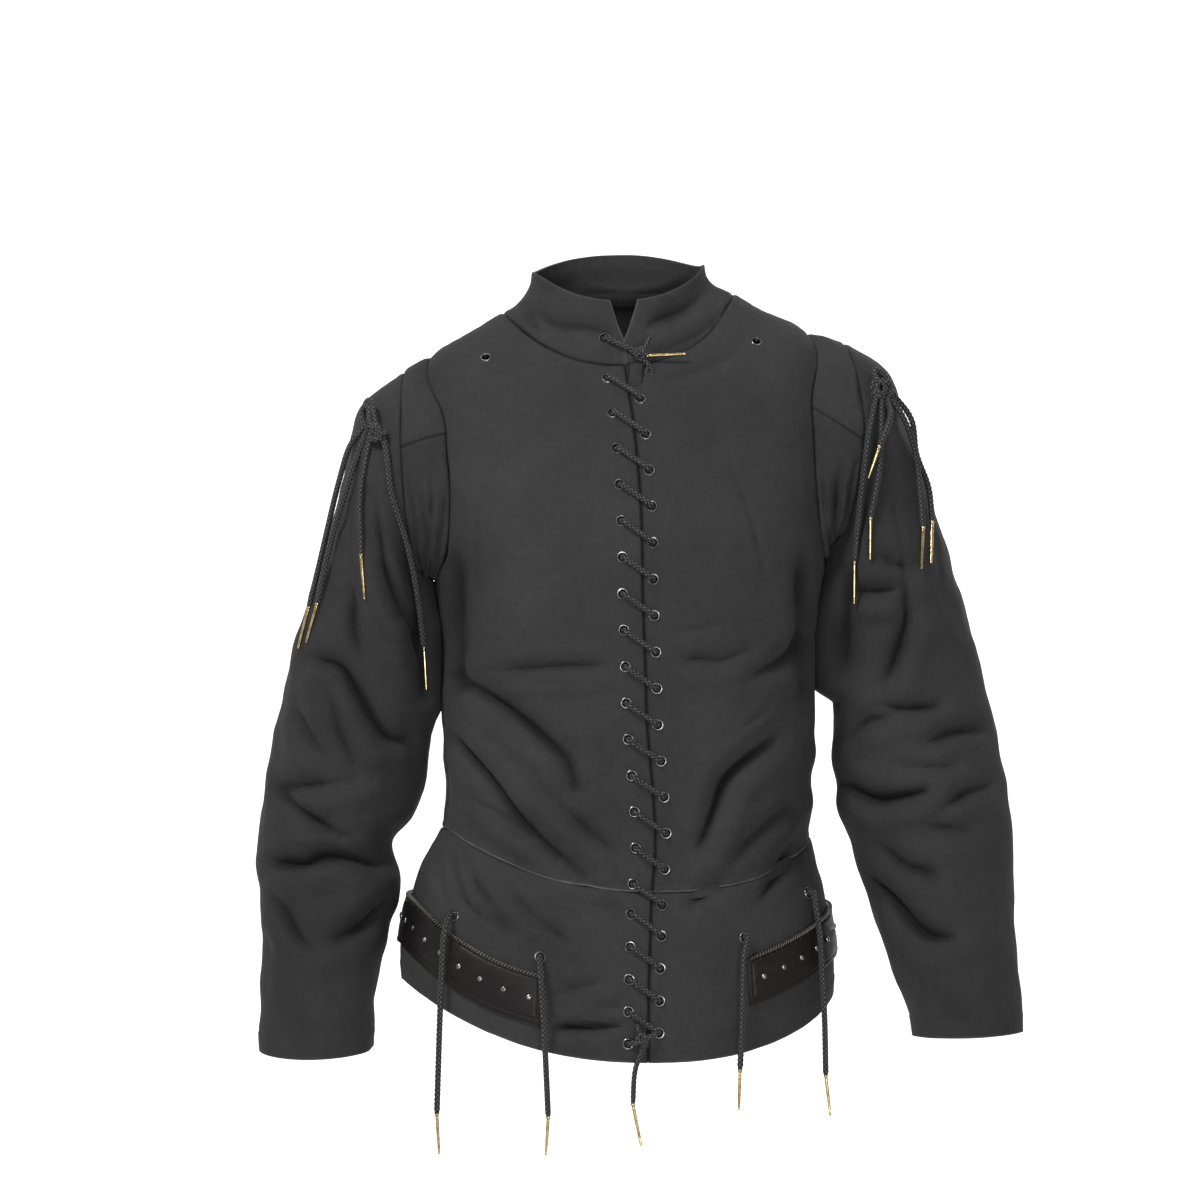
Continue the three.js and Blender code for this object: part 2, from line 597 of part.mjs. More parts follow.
function frontPanel(side, columns) {
  return bodiceRows.map((t) => {
    const edge = armholeTurn(t, true) - SIDE_EDGE;
    const turns = evenTurns(OPENING_EDGE, edge, columns).map((turn) => side * turn);
    if (side < 0) turns.reverse();
    return turns.map((turn) => onBodice(t, turn));
  });
}

function backPanel(columns) {
  return bodiceRows.map((t) => {
    const edge = armholeTurn(t, false) + SIDE_EDGE;
    return evenTurns(edge, 360 - edge, columns).map((turn) => onBodice(t, turn));
  });
}

const relief = { relief: bodyRelief };
const isRight = (s) => s.point.x < lacedEdgeX(s.point.z);
const bodiceSites = sitesOn("bodice", [...lacing.right, ...lacing.left, ...chestEyelets]);
add(
  "bodice_front_right",
  pierced(wall(frontPanel(-1, FRONT_COLUMNS), relief), bodiceSites.filter(isRight)),
  bodyCanvas,
);
add(
  "bodice_front_left",
  pierced(wall(frontPanel(1, FRONT_COLUMNS), relief), bodiceSites.filter((s) => !isRight(s))),
  bodyCanvas,
);
add("bodice_back", wall(backPanel(BACK_COLUMNS), relief), bodyCanvas);

// ---------------------------------------------------------------- skirt
function skirtPanel(from, to, columns) {
  const rows = spaced(SKIRT.length - 1, 0, SKIRT_ROWS);
  return rows.map((t) => evenTurns(from, to, columns).map((turn) => onSkirt(t, turn)));
}

const skirtSites = sitesOn("skirt", [...lacing.right, ...lacing.left, ...hipEyelets]);
const skirtRight = wall(skirtPanel(-90 + SIDE_EDGE, -OPENING_EDGE, FRONT_COLUMNS), relief);
const skirtLeft = wall(skirtPanel(OPENING_EDGE, 90 - SIDE_EDGE, FRONT_COLUMNS), relief);
add("skirt_front_right", pierced(skirtRight, skirtSites.filter(isRight)), bodyCanvas);
add("skirt_front_left", pierced(skirtLeft, skirtSites.filter((s) => !isRight(s))), bodyCanvas);
add("skirt_back", wall(skirtPanel(90 + SIDE_EDGE, 270 - SIDE_EDGE, BACK_COLUMNS), relief), bodyCanvas);

// ---------------------------------------------------------------- collar
function collarPanel(columns, rows) {
  const foot = SEAM / (COLLAR_TOP.zSide - BODICE[BODICE.length - 1].zSide);
  return spaced(2 * foot, 1, rows).map((h) => {
    const up = Math.max(0, h - COLLAR_NOTCH.from) / (1 - COLLAR_NOTCH.from);
    const open = OPENING_EDGE + COLLAR_NOTCH.wide * up;
    return evenTurns(open, 360 - open, columns).map((turn) => onCollar(h, turn));
  });
}

add(
  "collar",
  pierced(wall(collarPanel(22, 3)), sitesOn("collar", [...lacing.right, ...lacing.left])),
  bodyCanvas,
);

// ---------------------------------------------------------------- sleeves, caps and gussets
const SLEEVES = [
  { name: "right", side: -1, rows: SLEEVE_RIGHT, folds: RIGHT_SLEEVE_FOLDS },
  { name: "left", side: 1, rows: SLEEVE_LEFT, folds: LEFT_SLEEVE_FOLDS },
];
const SLEEVE_COLUMNS = 16;
const SLEEVE_ROWS = 21;

function sleeveMiddle(rows) {
  const middles = rows.map((r) => [(r.inZ + r.outZ) / 2, (r.inX + r.outX) / 2]);
  return (z) => {
    const i = middles.findIndex(([mz]) => mz < z);
    if (i < 1) return middles[i < 0 ? middles.length - 1 : 0][1];
    const [[z0, x0], [z1, x1]] = [middles[i - 1], middles[i]];
    return lerp(x0, x1, (z - z0) / (z1 - z0));
  };
}

function sleeveGrid(side, rows) {
  const turns = spaced(0, 360, SLEEVE_COLUMNS).slice(0, -1);
  const heights = spaced(rows.length - 1, 0, SLEEVE_ROWS);
  return heights.map((t) => turns.map((turn) => onSleeve(rows, t, side < 0 ? turn : -turn)));
}

const mirrored = ({ head, arm }) => ({ head: -head, arm: -arm });
const shifted = ({ head, arm }, turn) => ({ head: head + turn, arm: arm + turn });

// Strip from the sleeve head to the armhole, between two lines of turns about the shoulder tip.
function headStrip({ name, side, rows }, from, to, columns, puff) {
  return spaced(0, 1, 4).map((k) =>
    spaced(lerp(from.head, from.arm, k), lerp(to.head, to.arm, k), columns).map((along) => {
      const turn = side < 0 ? along : -along;
      const head = onSleeve(rows, 0, turn);
      const edge = onArmhole(side, turn);
      const gap = ARM_SEAM[name] / head.distanceTo(edge);
      const p = mix(head, edge, lerp(gap, 1 - gap, k));
      const out = new THREE.Vector3(0, -Math.sin(rad(turn)), Math.cos(rad(turn)));
      return p.addScaledVector(out, puff * Math.sin(Math.PI * k));
    }),
  );
}

for (const sleeve of SLEEVES) {
  const { name, side, rows, folds } = sleeve;
  const [cap, end] = [CAP_END[name], GUSSET_END[name]];
  const rolls = { relief: sleeveRelief(folds, sleeveMiddle(rows)), loop: true };
  add("sleeve_" + name, wall(sleeveGrid(side, rows), rolls), sleeveCanvas);
  add("shoulder_cap_" + name, wall(headStrip(sleeve, mirrored(cap), cap, 12, CAP_PUFF)), bodyCanvas);
  const start = shifted(cap, GUSSET_EDGE);
  const lines = [[start, end], [mirrored(end), mirrored(start)]];
  const [front, back] = side < 0 ? lines : lines.reverse();
  add("gusset_front_" + name, wall(headStrip(sleeve, ...front, 5, GUSSET_PUFF)), bodyCanvas);
  add("gusset_back_" + name, wall(headStrip(sleeve, ...back, 5, GUSSET_PUFF)), bodyCanvas);
}

// ---------------------------------------------------------------- band with its studs
function bandSite(turn, rise) {
  const z = bandHeight(turn) + rise;
  return onSkirt(rowAtHeight(PANEL_SURFACES.skirt, turn, z), turn);
}

function bandGrid(columns) {
  return [-1, 0, 1].map((k) =>
    evenTurns(BAND_LINE.end, 360 - BAND_LINE.end, columns).map((turn) =>
      bandSite(turn, k * BAND_LINE.half),
    ),
  );
}

// Turns at which the studs sit, one pitch apart along the band's centre line.
function studTurns() {
  const turns = [];
  const step = 0.25;
  let run = BAND.studPitch - BAND.studFirst;
  let last = bandSite(BAND_LINE.end, 0);
  for (let turn = BAND_LINE.end; turn < 360 - BAND_LINE.end; turn += step) {
    const next = bandSite(turn, 0);
    run += next.distanceTo(last);
    last = next;
    if (run < BAND.studPitch) continue;
    run -= BAND.studPitch;
    turns.push(turn);
  }
  return turns;
}

function studGeometry() {
  const { studRadius: r, studHeight: high } = BAND;
  const profile = [[0, -1], [r, -1], [r * 0.72, high * 0.72], [0, high]];
  return new THREE.LatheGeometry(profile.map(([x, y]) => new THREE.Vector2(x, y)), 6);
}

function studdedBand() {
  let solid = solidOf(wall(bandGrid(34), { thick: BAND.thick, lift: BAND.lift }));
  const stud = studGeometry();
  for (const turn of studTurns()) {
    const [left, right] = [bandSite(turn - 1, 0), bandSite(turn + 1, 0)];
    const up = bandSite(turn, 4).sub(bandSite(turn, -4));
    const normal = right.sub(left).cross(up).normalize();
    const foot = bandSite(turn, 0).addScaledVector(normal, BAND.lift + BAND.thick / 2 - 0.2);
    solid = solid.add(solidOf(placed(stud, foot, normal)));
  }
  return geometryOf(solid);
}

add("leather_band", studdedBand(), leather);

// ---------------------------------------------------------------- cords and aglets
const point = (xyz) => new THREE.Vector3(...xyz);

function circle(radius, sides) {
  const corners = spaced(0, 360, sides).slice(0, -1);
  const at = (turn) => new THREE.Vector2(radius * Math.cos(rad(turn)), radius * Math.sin(rad(turn)));
  return new THREE.Shape(corners.map(at));
}

// A curve that an extrusion samples at exactly its own stations.
class StationCurve extends THREE.Curve {
  constructor(stations) {
    super();
    this.stations = stations;
  }

  getPointAt(u) {
    return this.stations[Math.round(u * (this.stations.length - 1))].clone();
  }

  getTangentAt(u) {
    const i = Math.round(u * (this.stations.length - 1));
    const after = this.stations[Math.min(i + 1, this.stations.length - 1)];
    return after.clone().sub(this.stations[Math.max(i - 1, 0)]).normalize();
  }
}

function tube(curve, steps, radius, sides) {
  const options = { steps, extrudePath: curve, bevelEnabled: false };
  return new THREE.ExtrudeGeometry(circle(radius, sides), options);
}

// A cord along its route, after any points that lead it straight out of an eyelet.
function cord(route, lead = [], radius = CORD_RADIUS) {
  const curve = new THREE.CatmullRomCurve3(route);
  const steps = Math.max(3, Math.round(curve.getLength() / CORD_STEP));
  const stations = [...lead, ...curve.getSpacedPoints(steps)];
  return tube(new StationCurve(stations), stations.length - 1, radius, 8);
}

// An aglet starts a little past the cord's end and tapers to its tip.
function aglet(from, tip) {
  const run = tip.clone().sub(from);
  const length = run.length();
  const { gap, wide, narrow } = AGLET;
  const profile = [[0, gap], [wide, gap], [narrow, length], [0, length]];
  const lathe = new THREE.LatheGeometry(profile.map(([r, y]) => new THREE.Vector2(r, y)), 6);
  return placed(lathe, from, run.normalize());
}

function addPoint(name, route, tip, lead, radius) {
  add("cord_" + name, cord(route, lead, radius), cordBlack);
  add("aglet_" + name, aglet(route[route.length - 1], tip), brass);
}

for (const [name, { at, facing, ring }] of Object.entries(TIES)) {
  const torus = new THREE.TorusGeometry(ring, CORD_RADIUS, 6, 10);
  const knot = placed(torus, point(at), point(facing).normalize(), new THREE.Vector3(0, 0, 1));
  add(name, knot, cordBlack);
}

// Where a cord leaves a tie's outer edge, past a gap.
function leaving({ tie, leaves }, gap) {
  const { at, facing, ring } = TIES[tie];
  const out = point(facing).normalize();
  const lowest = new THREE.Vector3(0, 0, -1).addScaledVector(out, out.z).normalize();
  const direction = lowest.applyAxisAngle(out, rad(leaves));
  return point(at).addScaledVector(direction, ring + CORD_RADIUS + gap);
}

for (const spec of ARM_POINTS)
  addPoint(spec.name, [leaving(spec, TIE_GAP), ...spec.route.map(point)], point(spec.tip));

HIP_POINTS.forEach(({ name, route, tip }, i) => {
  const { point: hole, normal } = hipEyelets[i];
  const [behind, ahead, clear] = [-3, 2, 6].map((out) => hole.clone().addScaledVector(normal, out));
  addPoint(name, [clear, ...route.map(point)], point(tip), [behind, ahead]);
});

const tail = [leaving(LACE_TAIL, TIE_GAP), ...LACE_TAIL.route.map(point)];
addPoint("lace_tail", tail, point(LACE_TAIL.tip), [], LACE_RADIUS);
add("aglet_lace_top", aglet(leaving(TOP_AGLET, TIE_GAP - AGLET.gap), point(TOP_AGLET.tip)), brass);

// ---------------------------------------------------------------- front lace
// Where the lace has turned by LACE_BEND out of an eyelet, heading along a direction.
function laceBend({ point: hole, normal }, towards, out) {
  const run = towards.clone().sub(hole);
  run.addScaledVector(normal, -run.dot(normal)).normalize();
  const [s, c] = [Math.sin(rad(LACE_BEND)), Math.cos(rad(LACE_BEND))];
  const bent = hole.clone().addScaledVector(run, LACE_TURN * (1 - c));
  return bent.addScaledVector(normal, out * LACE_TURN * s);
}

// Where two panels meet at an angle the lace behind them stands off their seam.
function behindSeam(from, to) {
  if (from.panel === to.panel) return [];
  const middle = mix(from.point, to.point, 0.5);
  return [middle.addScaledVector(mix(from.normal, to.normal, 0.5), -LACE_SEAM_CLEAR)];
}

function laceStations() {
  const { right, left } = lacing;
  const stations = [right[0].point.clone().addScaledVector(right[0].normal, -LACE_TURN)];
  left.forEach((far, k) => {
    const [near, next] = [right[k], right[k + 1]];
    stations.push(near.point, laceBend(near, far.point, 1), laceBend(far, near.point, 1), far.point);
    stations.push(laceBend(far, next.point, -1), ...behindSeam(far, next), laceBend(next, far.point, -1));
  });
  const end = right[right.length - 1];
  stations.push(end.point, laceBend(end, point(TIES.lace_knot_bottom.at), 1));
  return stations;
}

const stations = laceStations();
add("front_lace", tube(new StationCurve(stations), stations.length - 1, LACE_RADIUS, 6), cordBlack);

export default doublet;
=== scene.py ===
"""Looks of the arming doublet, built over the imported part.

Cloth panels are thin shells on the forms of their solids, with finer folds, seams and weave. The
lace and the points are braided cord, with brass tips. Lengths in the tables are millimetres, in
the part's own frame: +Z up, the laced front faces -Y, +X is the wearer's left.
"""

import math

import bpy
import numpy as np
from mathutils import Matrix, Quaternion, Vector


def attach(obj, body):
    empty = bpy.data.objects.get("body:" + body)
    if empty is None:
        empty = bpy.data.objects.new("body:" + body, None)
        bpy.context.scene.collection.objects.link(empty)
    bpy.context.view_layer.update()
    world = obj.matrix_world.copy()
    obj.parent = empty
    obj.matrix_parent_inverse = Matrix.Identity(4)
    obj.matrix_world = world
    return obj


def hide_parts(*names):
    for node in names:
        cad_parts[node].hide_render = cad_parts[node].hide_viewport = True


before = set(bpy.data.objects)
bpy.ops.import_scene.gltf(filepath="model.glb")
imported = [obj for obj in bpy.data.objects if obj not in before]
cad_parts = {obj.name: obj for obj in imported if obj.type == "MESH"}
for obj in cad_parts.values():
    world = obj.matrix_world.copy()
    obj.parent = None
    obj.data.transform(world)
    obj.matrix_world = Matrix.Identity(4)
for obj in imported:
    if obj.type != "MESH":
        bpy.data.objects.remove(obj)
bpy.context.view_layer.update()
MM = 0.001

# ---------------------------------------------------------------- camera and free cords
camera = bpy.data.objects.new("camera", bpy.data.cameras.new("camera"))
bpy.context.scene.collection.objects.link(camera)
camera.location = (-0.0176, -3.0, -0.2376)
camera.rotation_euler = (math.radians(90), 0, 0)
camera.data.sensor_width = 36
camera.data.lens = 102.27
camera.data.dof.use_dof = False
bpy.context.scene.camera = camera

# Ties: centre, direction that they face, and radius of the ring of cord.
TIES = {
    "arm_tie_right": ((-213.6, -64.3, -81.1), (-0.76, -0.6, 0.25), 6.5),
    "arm_tie_left": ((227, -42.5, -53.8), (0.6, -0.65, 0.46), 6.5),
    "lace_knot_top": ((17, -67.1, -27), (0, -1, 0), 3.4),
    "lace_knot_bottom": ((18, -133.5, -607), (0, -1, 0), 4.2),
}
TIE_GAP = 0.9
CORD_RADIUS, LACE_RADIUS = 2.6, 2.3
BRAID_STRANDS, BRAID_PITCH = 4, 16
CORD_STEP, FINE_STEP, HITCH_STEP = 0.8, 0.7, 0.62

# Points: tie and the angle at which the cord leaves it, or eyelet; route; the aglet's tip.
ARM_POINTS = {
    "arm_right_1": ("arm_tie_right", -55, [(-233, -58, -104), (-243, -53, -134),
                    (-260, -46, -203), (-270, -44, -244)], (-280, -37, -280)),
    "arm_right_2": ("arm_tie_right", -18, [(-224, -66, -107), (-233, -68, -134),
                    (-252, -57, -195), (-262, -55, -241)], (-272, -48, -275)),
    "arm_right_3": ("arm_tie_right", 20, [(-217, -75, -109), (-223, -80, -148),
                    (-222, -83, -199)], (-219, -83, -237)),
    "arm_right_4": ("arm_tie_right", 58, [(-202, -81, -104), (-196, -86, -145),
                    (-182, -76, -194), (-174, -62, -240), (-170, -50, -279)],
                    (-168, -48, -316)),
    "arm_left_1": ("arm_tie_left", 6, [(233, -60, -77), (229, -68, -90),
                   (222, -72, -106)], (213, -70, -133)),
    "arm_left_2": ("arm_tie_left", -28, [(225, -61, -90), (222, -68, -130),
                   (215, -66, -167)], (215, -63, -203)),
    "arm_left_3": ("arm_tie_left", -62, [(213, -67, -100), (206, -60, -162),
                   (202, -57, -205)], (202, -53, -241)),
    "arm_left_4": ("arm_tie_left", 40, [(247, -41, -82), (256, -33, -106),
                   (260, -42, -140), (262, -48, -175)], (260, -53, -211)),
    "arm_left_5": ("arm_tie_left", 76, [(254, -26, -80), (259, -22, -110),
                   (269, -28, -140), (271, -37, -170)], (269, -49, -206)),
}
HIP_POINTS = {
    "hip_right_outer": ((-141, -506), [(-149, -119, -518), (-151, -119, -545),
                        (-153, -117, -590), (-156, -109, -674)], (-154, -107, -708)),
    "hip_right_inner": ((-68, -538), [(-67, -146, -552), (-65, -148, -585),
                        (-63, -147, -625), (-61, -144, -671)], (-63, -143, -703)),
    "hip_left_inner": ((105, -525), [(104, -114, -540), (103, -116, -575),
                       (102, -115, -610), (101, -113, -636)], (100, -112, -670)),
    "hip_left_outer": ((162, -492), [(169, -58, -504), (172, -58, -524),
                       (174, -61, -560), (176, -62, -600), (177, -62, -648)],
                       (181, -62, -682)),
}
LACE_TAIL = ("lace_knot_bottom", 4, [(12, -139, -632), (10, -138, -661)],
             (17, -137, -696))
TOP_AGLET = ("lace_knot_top", 86, (56, -69, -26))

# ---------------------------------------------------------------- tables of the form
ROUNDNESS, DIP_POWER = 2.3, 1.8
# zFront zSide zBack half ahead behind midX twist roll, and for the bodice armFront armBack.
BODICE = np.array([
    (-484, -440, -444, 160, 112, 108, 5, 11, -0.03, 90, 90),
    (-442, -402, -404, 160, 116, 110, 8, 10.5, -0.02, 90, 90),
    (-396, -362, -362, 163, 120, 113, 8, 9, -0.01, 90, 90),
    (-345, -316, -314, 163, 125, 117, 7, 7, 0, 90, 90),
    (-288, -270, -264, 163, 129, 120, 7, 6, 0, 90, 90),
    (-234, -230, -216, 168, 130, 121, 7, 5, 0.02, 90, 90),
    (-194, -196, -176, 175, 127, 119, 7, 5, 0.03, 67, 66),
    (-150, -150, -130, 181, 120, 113, 6, 5, 0.04, 59, 58),
    (-114, -104, -88, 183, 110, 105, 4, 5, 0.05, 58, 58),
    (-84, -56, -48, 180, 98, 95, 2, 5, 0.06, 62, 62),
    (-64, -15, -12, 165, 86, 84, 0, 5, 0.07, 90, 90),
    (-49, 3, 14, 134, 75, 73, -1, 5, 0.07, 90, 90),
    (-36, 17, 33, 101, 65, 62, -2, 5, 0.04, 90, 90),
], float)
ARMPIT_ROW, TIP_ROW = 5, 10
SKIRT = np.array([
    (-484.5, -440.5, -444.5, 160, 112, 108, 5, 11, -0.03),
    (-500, -458, -462, 168, 118, 114, 3, 11, -0.03),
    (-522, -480, -487, 177, 125, 122, 1, 11, -0.03),
    (-556, -511, -521, 184, 129, 128, -1, 11, -0.03),
    (-592, -543, -556, 190, 131, 132, -2, 11, -0.03),
    (-627, -573, -588, 189, 129, 131, -2, 11, -0.03),
], float)
COLLAR_TOP = np.array((21, 53, 72, 75, 56, 60, -2), float)
COLLAR_NOTCH = (7, 0.42)
COLLAR_FLARE = 2.2

# outX outZ inX inZ y depth bow
SLEEVE_RIGHT = np.array([
    (-189, -39, -178, -222, -9, 71, -4), (-227, -70, -175, -242, -8, 74, -4),
    (-240, -123, -168, -268, -7, 73, -2), (-254, -176, -164, -297, -5, 71, 0),
    (-271, -229, -161, -323, -3, 69, 0), (-286, -283, -163, -345, 0, 67, 0),
    (-297, -325, -168, -367, 2, 65, 0), (-307, -370, -173, -400, 4, 63, 0),
    (-314, -415, -182, -426, 5, 61, 0), (-318, -452, -202, -450, 4, 59, 0),
    (-316, -490, -196, -487, 0, 58, 0), (-313, -526, -204, -526, -5, 55, 0),
    (-314, -562, -211, -562, -11, 52, 0), (-314, -600, -218, -598, -17, 48, 0),
    (-313, -636, -216, -634, -23, 48, 0),
], float)
SLEEVE_LEFT = np.array([
    (198, -12, 189, -196, 14, 71, 17), (236, -37, 190, -215, 15, 75, 10),
    (252, -84, 183, -240, 15, 75, 5), (268, -126, 181, -262, 16, 73, 2),
    (281, -171, 185, -286, 17, 71, 0), (294, -214, 189, -313, 18, 69, 0),
    (306, -256, 192, -337, 19, 68, 0), (319, -303, 190, -362, 20, 68, 0),
    (331, -352, 191, -392, 20, 68, 0), (341, -405, 196, -425, 17, 67, 0),
    (344, -456, 209, -459, 11, 64, 0), (346, -493, 218, -493, 4, 60, 0),
    (347, -528, 228, -528, -4, 56, 0), (348, -563, 239, -563, -12, 52, 0),
    (349, -593, 250, -595, -19, 48, 0), (350, -620, 257, -624, -25, 47, 0),
], float)
CUFF_DIP = 8
# Turns at the sleeve head and at the armhole, where a cap and a gusset end.
CAP_END = {"right": (75, 67), "left": (87, 63)}
GUSSET_END = {"right": (146, 146), "left": (136, 136)}
CAP_PUFF, GUSSET_PUFF = 3, 4
HEAD_GAP = 0.45
# Heights between which each sleeve's inner side rests against the trunk, and their distance.
REST_BELOW = {"right": (-346, -326), "left": (-328, -312)}
REST_GAP = 1.9
CUFF_LIFT = {"right": (7, 3), "left": (7, 9)}

# Main folds: how wide, how deep and their run as x, z. Negative depth raises a ridge.
BODY_FOLDS = [
    (13, 7, [(-147, -303), (-107, -321), (-72, -348), (-45, -375), (-39, -397)]),
    (12, 6, [(-147, -354), (-118, -384), (-85, -424), (-58, -449), (-31, -472)]),
    (10, 3.5, [(-118, -300), (-53, -294), (1, -292)]),
    (10, 3.5, [(28, -294), (63, -287), (82, -289), (109, -281)]),
    (13, 6.5, [(134, -354), (91, -389), (80, -416), (69, -445)]),
    (12, 5, [(114, -300), (139, -289), (160, -271)]),
    (11, 4.5, [(145, -416), (109, -445), (96, -459)]),
    (10, 4, [(-123, -408), (-102, -422), (-81, -436)]),
    (10, 3.5, [(-72, -397), (-53, -411), (-21, -438), (6, -459)]),
    (11, 4, [(25, -497), (60, -493), (82, -481)]),
    (11, 4, [(-145, -458), (-129, -497), (-99, -515)]),
    (11, 5, [(147, -455), (131, -481), (114, -505)]),
    (10, 4, [(-99, -598), (-31, -596), (9, -596)]),
    (10, 4, [(28, -589), (98, -583)]),
]
BACK_FOLDS = [
    (13, 6, [(130, -296), (66, -330), (10, -350)]),
    (13, 6, [(-135, -318), (-74, -352), (-22, -384)]),
    (12, 5, [(-116, -398), (-40, -421), (38, -424), (112, -406)]),
    (14, 4, [(-118, -150), (-58, -188), (4, -200), (62, -186), (116, -148)]),
    (11, 4, [(-70, -452), (14, -440)]),
    (11, 4, [(-110, -500), (-60, -520), (20, -514)]),
]
RIGHT_SLEEVE_FOLDS = [
    (14, 6, [(-174, -196), (-173, -250), (-169, -318)]),
    (10, 5, [(-212, -150), (-204, -200), (-197, -225), (-188, -252)]),
    (13, 8, [(-264, -289), (-244, -293), (-224, -323), (-200, -358), (-187, -358)]),
    (12, 6, [(-253, -313), (-242, -352), (-226, -389)]),
    (12, 5, [(-283, -332), (-269, -352), (-250, -382)]),
    (12, 5, [(-298, -401), (-259, -397), (-242, -395)]),
    (12, 5, [(-295, -407), (-269, -424), (-238, -442)]),
    (13, 8, [(-300, -466), (-269, -464), (-259, -458), (-224, -462), (-210, -468)]),
    (14, 6, [(-247, -531), (-224, -520), (-200, -496)]),
    (12, 5, [(-301, -496), (-283, -523), (-265, -541)]),
    (13, 5, [(-230, -227), (-232, -263), (-224, -287)]),
    (12, 5, [(-202, -209), (-187, -244), (-173, -275)]),
]
LEFT_SLEEVE_FOLDS = [
    (14, 6, [(192, -190), (194, -240), (194, -296)]),
    (11, 6, [(225, -199), (240, -207), (252, -210)]),
    (12, 7, [(202, -231), (221, -230), (238, -227)]),
    (13, 6, [(250, -220), (247, -261), (235, -295), (226, -313)]),
    (12, 5, [(224, -328), (247, -331), (276, -330)]),
    (12, 5, [(201, -356), (213, -344), (233, -338)]),
    (12, 5, [(264, -363), (287, -352), (316, -350)]),
    (13, 8, [(192, -399), (221, -410), (241, -407), (267, -401)]),
    (12, 5, [(273, -421), (299, -404), (321, -399)]),
    (12, 4, [(264, -433), (304, -436)]),
    (12, 5, [(226, -453), (247, -468), (270, -473)]),
    (14, 7, [(218, -479), (238, -502), (261, -525), (287, -528)]),
    (11, 4, [(241, -382), (290, -382)]),
]

COLLAR_FOLDS = [
    (11, 3.6, [(-72, 12), (-55, 1), (-32, -2), (-3, -9)]),
    (6, 2.2, [(-80, 17), (-76, 3), (-68, -8)]),
    (7, 1.6, [(-48, -6), (-26, -21)]),
    (13, 4.0, [(20, -5), (31, 4), (44, 10), (58, 16), (70, 27)]),
    (11, 3.2, [(24, -22), (40, -22), (55, -17), (72, -5), (86, 10)]),
]
NAPE_FOLDS = [(12, 2.5, [(-58, 30), (-10, 22), (44, 30)]), (8, 1.6, [(-30, 44), (16, 40), (52, 48)])]

CAP_FOLDS = {
    "right": [(4.5, 2.0, [(-194, -52), (-190, -74), (-193, -100)]), (4, 1.2, [(-184, -60), (-181, -84)]),
              (4, 1.5, [(-203, -66), (-199, -88), (-201, -112)])],
    "left": [(4.5, 2.2, [(206, -46), (209, -64), (214, -80)]), (4, 1.2, [(198, -40), (199, -62)]),
             (4, 1.8, [(219, -50), (216, -66), (214, -84)])],
}
ARMPIT_VALLEY = (-142, 158)

# Finer creases in the same form.
FINE_BODY = [
    (5, 2.0, [(-142, -309), (-104, -327), (-70, -354), (-46, -382)]),
    (5, 1.8, [(-140, -362), (-112, -391), (-80, -430), (-54, -455)]),
    (5, 1.5, [(-112, -310), (-72, -308), (-31, -308)]),
    (5, 1.6, [(130, -360), (94, -388), (83, -412), (74, -440)]),
    (4, 1.2, [(47, -265), (88, -258)]),
    (8, 1.3, [(-58, -33), (-24, -48)]),
    (11, 1.8, [(30, -50), (51, -44), (81, -33), (101, -22)]),
    (4, 1.3, [(104, -346), (125, -331)]),
    (4, 1.2, [(-30, -478), (-8, -480)]),
    (6, 3.2, [(-103, -598), (-60, -597), (-31, -598), (9, -596)]),
    (6, 2.2, [(26, -590), (60, -586), (96, -583)]),
    (7, 2.2, [(-56, -566), (-36, -563), (-16, -560)]),
    (7, 2.0, [(-24, -582), (-8, -581), (6, -580)]),
    (9, 2.4, [(-50, -490), (-20, -495), (14, -498)]),
    (8, 3.0, [(-156, -464), (-153, -481), (-145, -503)]),
    (8, 3.0, [(-134, -457), (-124, -475), (-102, -502), (-89, -520)]),
    (8, 2.2, [(-94, -486), (-75, -500), (-45, -525)]),
    (4, 1.1, [(40, -540), (72, -533), (96, -520)]),
    (5, 1.4, [(-126, -474), (-112, -500), (-94, -520)]),
    (4, 1.0, [(-96, -478), (-66, -512), (-30, -528)]),
    (4, 0.9, [(92, -120), (112, -170), (122, -214)]),
    (4, 0.9, [(-118, -140), (-124, -196), (-120, -236)]),
]
FINE_BACK = [
    (5, 1.8, [(126, -304), (68, -336), (20, -354)]),
    (5, 1.8, [(-130, -326), (-76, -358), (-30, -390)]),
    (4, 1.2, [(-96, -276), (-38, -262), (22, -270)]),
    (4, 1.2, [(48, -372), (96, -352)]),
    (5, 1.4, [(-100, -164), (-52, -198), (4, -210), (56, -196)]),
    (4, 1.1, [(-8, -128), (2, -170), (0, -230)]),
]
FINE_RIGHT = [
    (5, 2.2, [(-260, -292), (-242, -298), (-222, -328), (-200, -360)]),
    (5, 2.0, [(-298, -468), (-266, -466), (-240, -462), (-214, -468)]),
    (5, 1.6, [(-292, -410), (-266, -427), (-240, -444)]),
    (4, 1.4, [(-288, -340), (-272, -360), (-252, -388)]),
    (4, 1.4, [(-244, -536), (-222, -524), (-204, -500)]),
    (4, 1.2, [(-246, -160), (-250, -206), (-246, -246)]),
    (4, 1.3, [(-226, -150), (-230, -200), (-214, -250)]),
    (4, 1.2, [(-206, -120), (-208, -160), (-200, -200)]),
]
FINE_LEFT = [
    (5, 2.2, [(196, -402), (222, -413), (243, -410), (266, -404)]),
    (5, 1.9, [(222, -484), (240, -505), (263, -528), (284, -531)]),
    (5, 1.5, [(268, -368), (290, -356), (314, -354)]),
    (4, 1.4, [(276, -424), (300, -408), (318, -403)]),
    (4, 1.3, [(226, -330), (248, -333), (272, -332)]),
    (4, 1.2, [(262, -120), (272, -170), (276, -220)]),
    (4, 1.3, [(236, -150), (244, -200), (246, -250)]),
]

